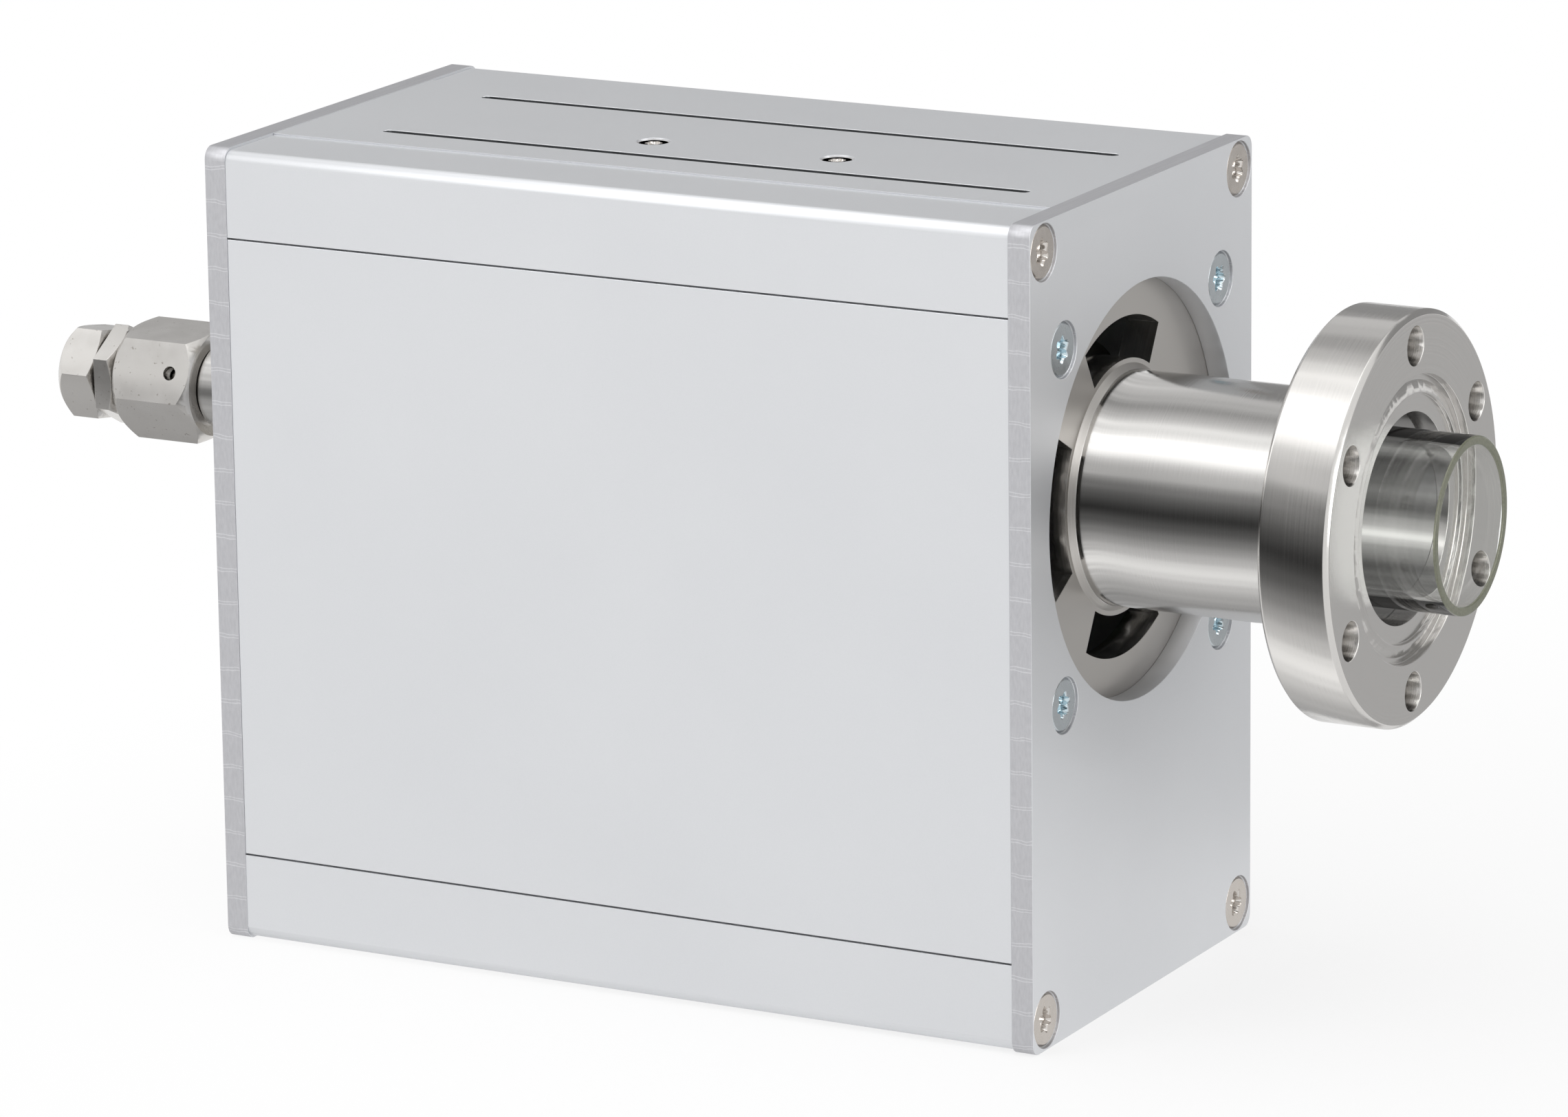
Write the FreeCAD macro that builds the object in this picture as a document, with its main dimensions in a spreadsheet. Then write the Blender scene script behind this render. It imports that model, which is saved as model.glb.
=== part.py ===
import FreeCAD, Part
import Sketcher
import math
import os

# Remote plasma source: an aluminium box that holds a quartz discharge tube, its
# coil and its tuner, with a vacuum flange at one end and a gas inlet at the other.
# The origin is the centre of the vacuum flange's face. +X points out of the
# flange, along the tube's axis, and +Z is up. Everything is in millimetres.

SIZES = [
    # the box
    ("box_length", 157.1, "outer faces of the two end plates"),
    ("box_width", 85.2, "across the end plates"),
    ("box_height", 140.7, "end plates, top to bottom"),
    ("axis_drop", 53.0, "tube axis below the top of the box"),
    ("plate_thick", 4.0, "end plates"),
    ("plate_corner", 2.2, "corner radius of the end plates"),
    ("plate_proud", 0.1, "end plates stand proud of the shells"),
    ("face_gap", 49.4, "flange face in front of the box"),
    ("web_thick", 3.7, "top and bottom webs of the shells"),
    ("shell_corner", 2.0, "long outer edges of the shells"),
    ("step_width", 53.4, "raised middle of the webs"),
    ("step_depth", 0.35, "outer strips of the webs lie lower"),
    ("skirt_height", 15.6, "skirts, from the top of the box"),
    ("skirt_lip", 1.5, "outer lip of the skirts"),
    ("seam_gap", 0.3, "joint between skirt and side panel"),
    ("panel_thick", 3.0, "side panels"),
    ("tongue_height", 3.0, "tongue of a side panel behind the lip"),
    ("slide_gap", 0.1, "clearance of a tongue in its groove"),
    ("groove_wall", 1.5, "inner wall of the groove"),
    ("boss_size", 9.7, "corner boss of the shells"),
    ("slot_length", 124.1, "milled vents in the webs"),
    ("slot_width", 2.0, "milled vents in the webs"),
    ("slot_spacing", 33.6, "between the two vents"),
    ("slot_setback", 12.8, "vents start behind the flange plate's face"),
    # screws
    ("corner_inset", 5.2, "corner screws from the plate's edges"),
    ("plate_screw_d", 5.0, "corner and support flange screws"),
    ("plate_screw_head", 9.6, "their countersunk heads"),
    ("plate_screw_length", 16.0, "corner screws"),
    ("support_screw_length", 10.0, "support flange screws"),
    ("support_screw_square", 60.3, "their square pattern"),
    ("small_screw_d", 3.0, "screws of the shells, fan, cap and jack"),
    ("small_screw_head", 5.8, "their countersunk heads"),
    ("small_screw_length", 6.0, "shell screws"),
    ("thread_gap", 0.05, "between a screw and its hole"),
    ("head_sink", 0.3, "heads lie below the face"),
    ("top_screw_first", 54.6, "first top screw behind the plate's face"),
    ("top_screw_pitch", 35.4, "between the two top screws"),
    ("top_screw_side", 5.6, "top screws off the middle"),
    # vacuum parts
    ("opening_d", 71.5, "round opening in the flange plate"),
    ("support_side", 72.4, "square support flange"),
    ("support_thick", 6.0, "support flange"),
    ("vent_web", 1.78, "metal between the nipple's socket and the arc vents"),
    ("vent_width", 7.3, "arc vents, inner to outer edge"),
    ("vent_angle", 58.0, "sweep of one arc vent, degrees"),
    ("nipple_clear", 2.8, "nipple tube's bore from the quartz tube"),
    ("nipple_wall", 2.2, "nipple tube wall"),
    ("nipple_gap", 0.02, "nipple in its sockets"),
    ("nipple_socket", 7.0, "nipple's socket in the vacuum flange"),
    ("weld_bead", 1.0, "legs of the weld beads round the nipple tube"),
    ("flange_d", 69.9, "vacuum flange outside"),
    ("flange_thick", 12.7, "vacuum flange"),
    ("flange_chamfer", 0.8, "vacuum flange's outer edges"),
    ("flange_pcd", 58.7, "flange bolt circle"),
    ("flange_hole_d", 6.7, "flange bolt holes"),
    ("gasket_d", 48.5, "gasket recess"),
    ("gasket_depth", 1.5, "gasket recess"),
    ("knife_d", 41.9, "knife edge"),
    ("knife_drop", 0.8, "knife edge above the recess's floor"),
    ("quartz_d", 30.0, "quartz tube outside"),
    ("quartz_wall", 1.6, "quartz tube wall"),
    ("quartz_front", 10.2, "quartz tube in front of the flange face"),
    ("quartz_setback", 9.3, "quartz tube's back end from the gas plate"),
    ("quartz_gap", 0.3, "quartz tube in its seats"),
    ("ring_cord", 3.5, "cord of the sealing rings"),
    ("ring_gap", 0.05, "sealing rings in their glands"),
    ("hub_wall", 2.6, "hubs, outside the sealing rings' glands"),
    ("hub_length", 10.6, "front hub behind the support flange"),
    ("gland_depth", 6.5, "depth of a sealing ring's gland"),
    ("nut_wall", 2.9, "skirts of the seal nuts"),
    ("nut_skirt", 7.0, "skirt of a seal nut over its hub"),
    ("nut_disc", 3.0, "end wall of a seal nut"),
    # rear cap and gas inlet
    ("cap_rim", 1.8, "rear cap's flange beyond its hub"),
    ("cap_flange_thick", 4.5, "rear cap's flange"),
    ("cap_screw_pcd", 33.0, "rear cap's screws, seen from outside"),
    ("cap_screw_length", 7.5, "rear cap's screws"),
    ("stem_d", 15.0, "gas stem"),
    ("stem_length", 26.0, "gas stem beyond the gas plate"),
    ("gas_bore", 4.6, "gas passage"),
    ("gland_neck", 9.8, "neck of the gland"),
    ("gland_play", 0.6, "head of the gland in the union nut, all round"),
    ("gland_head_length", 3.7, "head of the gland"),
    ("union_flats", 19.05, "union nut across flats"),
    ("union_length", 16.2, "union nut"),
    ("union_lip", 3.0, "end wall of the union nut"),
    ("union_bore", 14.4, "thread bore of the union nut"),
    ("union_chamfer", 1.9, "chamfer of the union nut, along its axis"),
    ("weep_d", 2.5, "weep hole"),
    ("weep_setback", 4.2, "weep hole from the nut's near end"),
    ("gasket_ring_thick", 0.7, "union gasket"),
    ("body_neck", 13.5, "neck of the union body"),
    ("body_flats", 15.9, "union body across flats"),
    ("body_hex_length", 3.6, "hexagon of the union body"),
    ("tube_nut_flats", 15.9, "tube nut across flats"),
    ("tube_nut_length", 7.3, "tube nut"),
    ("tube_nut_dome", 1.6, "domed end of the tube nut"),
    ("tube_nut_floor", 2.2, "end wall of the tube nut"),
    ("tube_thread_d", 12.4, "thread under the tube nut"),
    ("ferrule_length", 2.0, "both ferrules, from the nut's end wall to the body's mouth"),
    ("back_ferrule_wall", 1.3, "back ferrule, outside the gas tube"),
    ("mouth_cone", 1.2, "cone in the mouth of the union body"),
    ("tube_nut_gap", 0.4, "tube nut from the hexagon"),
    ("gas_tube_d", 8.0, "gas tube that the nut takes"),
    ("gas_tube_gap", 0.1, "gas tube in its bores"),
    ("turn_gap", 0.1, "clearance of a turning nut"),
    # coil
    ("coil_gap", 3.2, "from the quartz tube to the coil"),
    ("coil_strip", 4.0, "copper strip of the coil"),
    ("coil_sheet", 1.4, "copper strip of the coil"),
    ("coil_turns", 5, "turns"),
    ("coil_open", 40.0, "open part of each turn, degrees"),
    ("coil_lead", 6.0, "straight lead at each end"),
    ("saddle_width", 5.0, "saddles, along the tube"),
    ("saddle_span", 30.0, "saddles, across"),
    ("saddle_low", 12.0, "lower ends of the saddles above the tube axis"),
    # tuner
    ("tray_thick", 2.0, "sheet of the tray"),
    ("tray_width", 60.0, "tray, across"),
    ("tray_setback", 18.6, "tray behind the flange plate"),
    ("tray_length", 114.0, "tray"),
    ("tray_window", 4.4, "windows of the tray over the vents"),
    ("tray_ear", 34.0, "motor wall above the shell's bosses, half its width"),
    ("bottom_screw_spread", 48.0, "between the bottom screws, across"),
    ("bottom_screw_front", 8.0, "front bottom screws from the tray's front end"),
    ("bottom_screw_back", 18.0, "back bottom screws from the tray's back end"),
    ("tuner_spread", 38.0, "between the two capacitor shafts"),
    ("motor_side", 28.2, "square of a motor"),
    ("motor_length", 30.0, "motor"),
    ("motor_corner", 2.5, "corner of a motor"),
    ("motor_setback", 100.6, "motors' front faces behind the flange plate"),
    ("motor_pilot_d", 22.0, "pilot boss of a motor"),
    ("motor_shaft_d", 5.0, "motor shaft"),
    ("motor_shaft_depth", 12.0, "motor shaft inside the motor"),
    ("motor_hole_square", 23.0, "motor screws"),
    ("motor_screw_d", 2.5, "motor screws"),
    ("motor_screw_head", 4.5, "motor screws"),
    ("motor_screw_length", 6.0, "motor screws"),
    ("coupler_d", 14.0, "coupler outside"),
    ("coupler_length", 20.0, "coupler"),
    ("coupler_ahead", 8.0, "coupler in front of its motor's face"),
    ("coupler_slit", 0.8, "slits of the coupler"),
    ("shaft_meet", 1.0, "between the two shafts in a coupler"),
    ("rotor_shaft_d", 6.0, "capacitor shaft"),
    ("shaft_gap", 0.05, "running clearance of a shaft"),
    ("frame_ahead", 4.0, "capacitor frame in front of its coupler"),
    ("frame_length", 38.0, "capacitor frame"),
    ("frame_wall", 2.0, "capacitor frame sheet"),
    ("frame_width", 34.0, "capacitor frame"),
    ("frame_top", 16.0, "capacitor frame above its shaft"),
    ("frame_low", 20.0, "capacitor frame below its shaft"),
    ("post_d", 5.0, "insulating posts under a capacitor"),
    ("post_length", 9.9, "insulating posts under a capacitor"),
    ("post_inset", 5.0, "posts from the frame's ends"),
    ("post_side", 8.0, "posts beside the shaft"),
    ("plate_count", 6, "rotor plates of a capacitor"),
    ("plate_pitch", 5.0, "from rotor plate to rotor plate"),
    ("plate_sheet", 1.0, "capacitor plates"),
    ("rotor_radius", 13.0, "rotor plates"),
    ("stator_half", 15.6, "stator plates, half their width"),
    ("stator_top", 4.2, "stator plates' upper edge below the shaft"),
    ("stator_low", 13.5, "stator plates' lower edge below the shaft"),
    ("stator_rod_d", 2.4, "rods that carry the stator plates"),
    ("stator_rod_side", 13.6, "stator rods beside the shaft"),
    ("stator_rod_low", 9.5, "stator rods below the shaft"),
    ("rod_reach", 1.6, "straps beyond the frame, on the rods"),
    ("strap_width", 5.0, "copper straps"),
    ("strap_thick", 0.8, "copper straps"),
    # chassis and board
    ("bracket_thick", 1.5, "chassis bracket sheet"),
    ("bracket_setback", 22.6, "bracket behind the flange plate"),
    ("bracket_length", 90.0, "bracket"),
    ("bracket_wall", 32.4, "outer face of the bracket's wall"),
    ("bracket_near", 16.0, "near edge of the bracket's flange"),
    ("bracket_low", -28.0, "lower edge of the bracket's wall"),
    ("nut_plate_d", 6.0, "clinch nuts of the bracket"),
    ("board_thick", 1.6, "control board"),
    ("board_height", 44.0, "control board"),
    ("board_top", 18.0, "control board's upper edge"),
    ("board_length", 74.0, "control board"),
    ("spacer_length", 4.0, "board spacers"),
    ("spacer_d", 5.0, "board spacers"),
    ("spacer_inset", 4.0, "spacers from the board's edges"),
    # gas plate connectors
    ("jack_side", 25.4, "square flange of the jack"),
    ("jack_flange_thick", 3.2, "flange of the jack"),
    ("jack_hole_square", 18.3, "its screw pattern"),
    ("jack_thread_d", 15.9, "threaded barrel of the jack"),
    ("jack_length", 18.0, "jack in front of the gas plate"),
    ("jack_bore", 13.4, "mouth of the jack"),
    ("jack_back_d", 12.0, "back body of the jack"),
    ("jack_back_length", 9.0, "back body of the jack"),
    ("jack_pin_d", 3.0, "centre contact of the jack"),
    ("jack_across", 26.0, "jack off the middle"),
    ("jack_up", -22.0, "jack above the tube axis"),
    ("port_width", 30.8, "flange of the control connector"),
    ("port_height", 12.5, "flange of the control connector"),
    ("port_thick", 1.2, "flange of the control connector"),
    ("port_shell_width", 16.9, "shell of the control connector"),
    ("port_shell_height", 8.3, "shell of the control connector"),
    ("port_shell_length", 6.0, "shell of the control connector"),
    ("port_taper", 1.2, "narrow side of the shell, each end"),
    ("port_post_pitch", 25.0, "jack posts of the control connector"),
    ("port_post_flats", 4.8, "jack posts across flats"),
    ("port_post_length", 5.0, "jack posts"),
    ("port_back_length", 8.0, "back of the control connector"),
    ("port_across", 8.0, "control connector off the middle"),
    ("port_up", 34.0, "control connector above the tube axis"),
    # fan
    ("fan_side", 40.0, "fan frame"),
    ("fan_thick", 10.0, "fan frame"),
    ("fan_corner", 3.5, "fan frame's corners"),
    ("fan_bore", 37.6, "duct of the fan"),
    ("fan_hole_square", 32.0, "fan screws"),
    ("fan_height", 31.7, "fan's axis above the bottom of the box"),
    ("fan_hub_d", 21.0, "hub of the fan rotor"),
    ("fan_tip_d", 36.4, "tips of the blades"),
    ("fan_blades", 7, "blades"),
    ("fan_blade_sheet", 1.1, "blades"),
    ("fan_root_pitch", 48.0, "blade angle at the hub, degrees"),
    ("fan_tip_pitch", 62.0, "blade angle at the tip, degrees"),
    ("fan_pin_d", 3.0, "fan shaft"),
    ("fan_wall", 1.5, "end walls of the fan's frame and hub"),
    ("fan_strut", 2.5, "struts of the fan"),
    ("fan_boss_d", 8.0, "bearing boss of the fan"),
    ("fan_gap", 0.8, "fan rotor inside the frame's faces"),
    ("fan_root_chord", 7.5, "blade at the hub"),
    ("fan_tip_chord", 10.0, "blade at the tip"),
    ("guard_sheet", 1.0, "sheet of the finger guard"),
    ("guard_bar", 1.6, "rings and bars of the guard"),
    ("guard_outer", 18.4, "radius of the outer guard ring"),
    ("guard_step", 6.0, "from guard ring to guard ring"),
    ("guard_rings", 3, "guard rings"),
    ("guard_ear", 3.4, "radius of the guard's ears"),
    ("fan_screw_length", 14.0, "fan screws"),
    ("fan_screw_head", 5.6, "fan screws"),
    ("fan_screw_head_thick", 2.0, "fan screws"),
]

document = FreeCAD.newDocument("plasma_source")
sheet = document.addObject("Spreadsheet::Sheet", "Sizes")
for row, (alias, number, words) in enumerate(SIZES, start=1):
    sheet.set(f"A{row}", str(number))
    sheet.setAlias(f"A{row}", alias)
    sheet.set(f"B{row}", words)
document.recompute()


class Size:
    """A number together with the sheet formula that gives it."""

    def __init__(self, number, formula):
        self.number = number
        self.formula = formula

    def __add__(self, other):
        other = size(other)
        return Size(self.number + other.number, f"({self.formula} + {other.formula})")

    def __sub__(self, other):
        other = size(other)
        return Size(self.number - other.number, f"({self.formula} - {other.formula})")

    def __mul__(self, factor):
        factor = size(factor)
        return Size(self.number * factor.number, f"({self.formula} * {factor.formula})")

    def __truediv__(self, factor):
        factor = size(factor)
        return Size(self.number / factor.number, f"({self.formula} / {factor.formula})")

    def __neg__(self):
        return self * -1

    __radd__ = __add__
    __rmul__ = __mul__

    def __rsub__(self, other):
        return size(other) - self


def size(thing):
    """A Size, from a Size, a cell's alias or a plain number."""
    if isinstance(thing, Size):
        return thing
    if isinstance(thing, str):
        return Size(float(sheet.get(thing)), f"Sizes.{thing}")
    return Size(float(thing), f"({float(thing)!r})")


def whole(alias):
    """A count, such as the number of turns."""
    return round(size(alias).number)


def bind(thing, name, amount):
    """Give a property its number and the formula behind it."""
    amount = size(amount)
    if "." not in name and "[" not in name:
        setattr(thing, name, amount.number)
    thing.setExpression(name, amount.formula)


# Places that several pieces share

PLATE_OUT = -size("face_gap")
PLATE_IN = PLATE_OUT - size("plate_thick")
GAS_OUT = PLATE_OUT - size("box_length")
GAS_IN = GAS_OUT + size("plate_thick")
SHELL_LENGTH = PLATE_IN - GAS_IN
TOP = size("axis_drop")
BOTTOM = size("axis_drop") - size("box_height")
HALF_WIDTH = size("box_width") / 2
SHELL_HALF = HALF_WIDTH - size("plate_proud")
QUARTZ_R = size("quartz_d") / 2
NIPPLE_IN = QUARTZ_R + size("nipple_clear")
NIPPLE_OUT = NIPPLE_IN + size("nipple_wall")
GLAND_R = QUARTZ_R + size("ring_cord") + size("ring_gap") * 2
HUB_R = GLAND_R + size("hub_wall")
COIL_R = QUARTZ_R + size("coil_gap") + size("coil_sheet")
SCREW_HOLE_R = size("plate_screw_d") / 2 + size("thread_gap")
SMALL_HOLE_R = size("small_screw_d") / 2 + size("thread_gap")
BOTTOM_INSIDE = BOTTOM + size("plate_proud") + size("web_thick")
TOP_INSIDE = TOP - size("plate_proud") - size("web_thick")
TUNER_Y = size("tuner_spread") / 2
TRAY_TOP = BOTTOM_INSIDE + size("tray_thick")
TRAY_FRONT = PLATE_IN - size("tray_setback")
TRAY_BACK = TRAY_FRONT - size("tray_length")
TUNER_Z = TRAY_TOP + size("post_length") + size("frame_low")
MOTOR_FACE = PLATE_IN - size("motor_setback")
COUPLER_START = MOTOR_FACE + size("coupler_ahead")
FRAME_BACK = COUPLER_START + size("coupler_length") + size("frame_ahead")
FRAME_MIDDLE = FRAME_BACK + size("frame_length") / 2
COIL_PITCH = (size("frame_length") + size("rod_reach") * 2) / (size("coil_turns") - 1)
COUPLER_MIDDLE = COUPLER_START + size("coupler_length") / 2
BRACKET_FRONT = PLATE_IN - size("bracket_setback")
BRACKET_BACK = BRACKET_FRONT - size("bracket_length")
FAN_Z = BOTTOM + size("fan_height")

subparts = []
checked_cuts = []


# Helpers that draw and build


def new_body(label):
    """An empty body that becomes one sub-part."""
    body = document.addObject("PartDesign::Body", label)
    body.Label = label
    subparts.append(body)
    return body


def origin_feature(body, role):
    return [feature for feature in body.Origin.OriginFeatures if feature.Role == role][0]


def new_sketch(body, role, at=(0, 0, 0), turn=0):
    """A sketch on an origin plane, moved by at and turned about its own x, in degrees."""
    sketch = body.newObject("Sketcher::SketchObject", body.Label + "_sketch")
    sketch.AttachmentSupport = [(origin_feature(body, role), "")]
    sketch.MapMode = "FlatFace"
    x, y, z = (size(value) for value in at)
    sketch.AttachmentOffset = FreeCAD.Placement(
        FreeCAD.Vector(x.number, y.number, z.number),
        FreeCAD.Rotation(FreeCAD.Vector(1, 0, 0), turn),
    )
    for letter, value in (("x", x), ("y", y), ("z", z)):
        bind(sketch, f"AttachmentOffset.Base.{letter}", value)
    return sketch


def pin_point(sketch, geometry, point, x, y=None):
    """Fix a point of the sketch at (x, y) from the sketch's origin, or only its x."""
    for kind, value in (("DistanceX", x), ("DistanceY", y)):
        if value is None:
            continue
        value = size(value)
        constraint = Sketcher.Constraint(kind, -1, 1, geometry, point, value.number)
        index = sketch.addConstraint(constraint)
        bind(sketch, f"Constraints[{index}]", value)


def draw_polygon(sketch, points):
    """A closed outline of straight lines through the points."""
    first = sketch.GeometryCount
    corners = [(size(x), size(y)) for x, y in points]
    for index, (x, y) in enumerate(corners):
        next_x, next_y = corners[(index + 1) % len(corners)]
        start = FreeCAD.Vector(x.number, y.number, 0)
        end = FreeCAD.Vector(next_x.number, next_y.number, 0)
        sketch.addGeometry(Part.LineSegment(start, end))
    for index, (x, y) in enumerate(corners):
        following = first + (index + 1) % len(corners)
        sketch.addConstraint(Sketcher.Constraint("Coincident", first + index, 2, following, 1))
        pin_point(sketch, first + index, 1, x, y)


def draw_circle(sketch, x, y, radius):
    x, y, radius = size(x), size(y), size(radius)
    centre = FreeCAD.Vector(x.number, y.number, 0)
    circle = Part.Circle(centre, FreeCAD.Vector(0, 0, 1), radius.number)
    index = sketch.addGeometry(circle)
    pin_point(sketch, index, 3, x, y)
    constraint = sketch.addConstraint(Sketcher.Constraint("Radius", index, radius.number))
    bind(sketch, f"Constraints[{constraint}]", radius)


def draw_slot(sketch, x_start, x_end, y, radius):
    """A slot along x with round ends: the four joints between lines and arcs are fixed."""
    x_start, x_end, y, radius = size(x_start), size(x_end), size(y), size(radius)
    first = sketch.GeometryCount
    low, high = y - radius, y + radius
    start_low = FreeCAD.Vector(x_start.number, low.number, 0)
    end_low = FreeCAD.Vector(x_end.number, low.number, 0)
    start_high = FreeCAD.Vector(x_start.number, high.number, 0)
    end_high = FreeCAD.Vector(x_end.number, high.number, 0)
    end_tip = FreeCAD.Vector((x_end + radius).number, y.number, 0)
    start_tip = FreeCAD.Vector((x_start - radius).number, y.number, 0)
    sketch.addGeometry(Part.LineSegment(start_low, end_low))
    sketch.addGeometry(Part.Arc(end_low, end_tip, end_high))
    sketch.addGeometry(Part.LineSegment(end_high, start_high))
    sketch.addGeometry(Part.Arc(start_high, start_tip, start_low))
    pin_point(sketch, first, 1, x_start, low)
    pin_point(sketch, first, 2, x_end, low)
    pin_point(sketch, first + 2, 1, x_end, high)
    pin_point(sketch, first + 2, 2, x_start, high)
    sketch.addConstraint(Sketcher.Constraint("Coincident", first + 1, 1, first, 2))
    sketch.addConstraint(Sketcher.Constraint("Coincident", first + 1, 2, first + 2, 1))
    sketch.addConstraint(Sketcher.Constraint("Coincident", first + 3, 1, first + 2, 2))
    sketch.addConstraint(Sketcher.Constraint("Coincident", first + 3, 2, first, 1))
    pin_point(sketch, first + 1, 3, x_end)
    pin_point(sketch, first + 3, 3, x_start)


def rectangle(low_x, high_x, low_y, high_y):
    return [(low_x, low_y), (high_x, low_y), (high_x, high_y), (low_x, high_y)]


def hexagon(flats, turn):
    """Six corners of a hexagon; turn is the first corner's angle in degrees."""
    corner = size(flats) / math.sqrt(3)
    angles = [math.radians(turn + 60 * step) for step in range(6)]
    return [(corner * math.cos(angle), corner * math.sin(angle)) for angle in angles]


def solid_along(body, sketch, length, cut=False):
    """Pad the sketch along its normal, or cut it out over the same stretch."""
    kind = "PartDesign::Pocket" if cut else "PartDesign::Pad"
    before = body.Tip
    feature = body.newObject(kind, body.Label + ("_pocket" if cut else "_pad"))
    feature.Profile = sketch
    bind(feature, "Length", length)
    if cut:
        feature.Reversed = True
        checked_cuts.append((feature, before))
    return feature


def solid_round(body, sketch, axis, cut=False, angle=360):
    """Turn the sketch about one of its own axes, or cut out what it sweeps."""
    kind = "PartDesign::Groove" if cut else "PartDesign::Revolution"
    before = body.Tip
    feature = body.newObject(kind, body.Label + ("_groove" if cut else "_turned"))
    feature.Profile = sketch
    feature.ReferenceAxis = (sketch, [axis])
    bind(feature, "Angle", angle)
    feature.Midplane = size(angle).number < 360
    if cut:
        checked_cuts.append((feature, before))
    return feature


def turn_about_x(body, profile, y=0, z=0, cut=False, angle=360):
    """Turn a profile of (x, radius) points about a line along X through (y, z)."""
    sketch = new_sketch(body, "XZ_Plane", (0, z, -size(y)))
    draw_polygon(sketch, profile)
    return solid_round(body, sketch, "H_Axis", cut, angle)


def turn_about_z(body, profile, x, y, cut=False):
    """Turn a profile of (radius, z) points about a line along Z through (x, y)."""
    sketch = new_sketch(body, "XZ_Plane", (x, 0, -size(y)))
    draw_polygon(sketch, profile)
    return solid_round(body, sketch, "V_Axis", cut)


def prism_x(body, outline, start, length, cut=False, y=0, z=0):
    """Extrude a polygon of (y, z) points along X from start."""
    sketch = new_sketch(body, "YZ_Plane", (y, z, start))
    draw_polygon(sketch, outline)
    return solid_along(body, sketch, length, cut)


def holes_x(body, places, radius, start, length):
    """Round holes along X from start."""
    sketch = new_sketch(body, "YZ_Plane", (0, 0, start))
    for y, z in places:
        draw_circle(sketch, y, z, radius)
    return solid_along(body, sketch, length, cut=True)


def polar(body, feature, count):
    """Repeat a feature evenly about the tube's axis."""
    pattern = body.newObject("PartDesign::PolarPattern", body.Label + "_pattern")
    pattern.Originals = [feature]
    pattern.Axis = (origin_feature(body, "X_Axis"), [""])
    pattern.Angle = 360
    pattern.Occurrences = count
    body.Tip = pattern
    return pattern


def edges_along(body, direction, points):
    """Names of the straight edges along a direction that pass through one of the points."""
    document.recompute()
    shape = body.Tip.Shape
    names = []
    for number, edge in enumerate(shape.Edges, start=1):
        if not isinstance(edge.Curve, Part.Line):
            continue
        if edge.tangentAt(edge.FirstParameter).cross(direction).Length > 1e-6:
            continue
        middle = edge.CenterOfMass
        for point in points:
            if (middle - point).cross(direction).Length < 1e-3:
                names.append(f"Edge{number}")
    return names


def round_long_edges(body, places, radius):
    """Fillet the edges along X at the (y, z) places."""
    before = body.Tip
    points = [FreeCAD.Vector(0, size(y).number, size(z).number) for y, z in places]
    names = edges_along(body, FreeCAD.Vector(1, 0, 0), points)
    fillet = body.newObject("PartDesign::Fillet", body.Label + "_fillet")
    fillet.Base = (before, names)
    bind(fillet, "Radius", radius)
    return fillet


def mirrored_outline(half):
    """A whole outline from its +y half, listed from the middle outwards and back."""
    return half + [(-size(y), z) for y, z in reversed(half)]


def square_places(side, y=0, z=0):
    """Corners of a square pattern about (y, z)."""
    half = size(side) / 2
    return [(size(y) + half * a, size(z) + half * b) for a in (-1, 1) for b in (-1, 1)]


def flat_head(head_d, screw_d, length, face, way):
    """Profile of a countersunk screw along X: face is the outer surface, way points in."""
    head_r = size(head_d) / 2
    shank_r = size(screw_d) / 2
    start = size(face) + size("head_sink") * way
    rim = start + size("thread_gap") * 4 * way
    neck = rim + (head_r - shank_r) * way
    end = start + size(length) * way
    return [(start, 0), (start, head_r), (rim, head_r), (neck, shank_r), (end, shank_r), (end, 0)]


def flat_head_hole(head_d, screw_d, depth, face, way):
    """Profile of the hole that such a screw sits in."""
    gap = size("thread_gap")
    head_r = size(head_d) / 2 + gap
    shank_r = size(screw_d) / 2 + gap
    rim = size(face) + (size("head_sink") + gap * 4) * way
    neck = rim + (head_r - shank_r) * way
    end = size(face) + size(depth) * way
    return [(face, 0), (face, head_r), (rim, head_r), (neck, shank_r), (end, shank_r), (end, 0)]


# Housing


def corner_places():
    inset = size("corner_inset")
    across = HALF_WIDTH - inset
    return [(across * side, level) for side in (-1, 1) for level in (TOP - inset, BOTTOM + inset)]


def shell_outline(edge, way):
    """Half of a shell's section. edge is its outer height and way points into the box."""
    face = edge + size("plate_proud") * way
    strip = face + size("step_depth") * way
    seam = edge + (size("skirt_height") - size("seam_gap") / 2) * way
    lip = SHELL_HALF - size("skirt_lip")
    groove_top = seam - (size("tongue_height") + size("slide_gap")) * way
    tongue = size("panel_thick") - size("skirt_lip")
    groove_inner = lip - tongue - size("slide_gap")
    wall_inner = groove_inner - size("groove_wall")
    wall_end = seam + size("seam_gap") * way
    boss_inner = SHELL_HALF - size("boss_size")
    boss_end = edge + size("boss_size") * way
    under = face + size("web_thick") * way
    step = size("step_width") / 2
    return [
        (step, face),
        (step, strip),
        (SHELL_HALF, strip),
        (SHELL_HALF, seam),
        (lip, seam),
        (lip, groove_top),
        (groove_inner, groove_top),
        (groove_inner, wall_end),
        (wall_inner, wall_end),
        (wall_inner, boss_end),
        (boss_inner, boss_end),
        (boss_inner, under),
    ]


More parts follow.
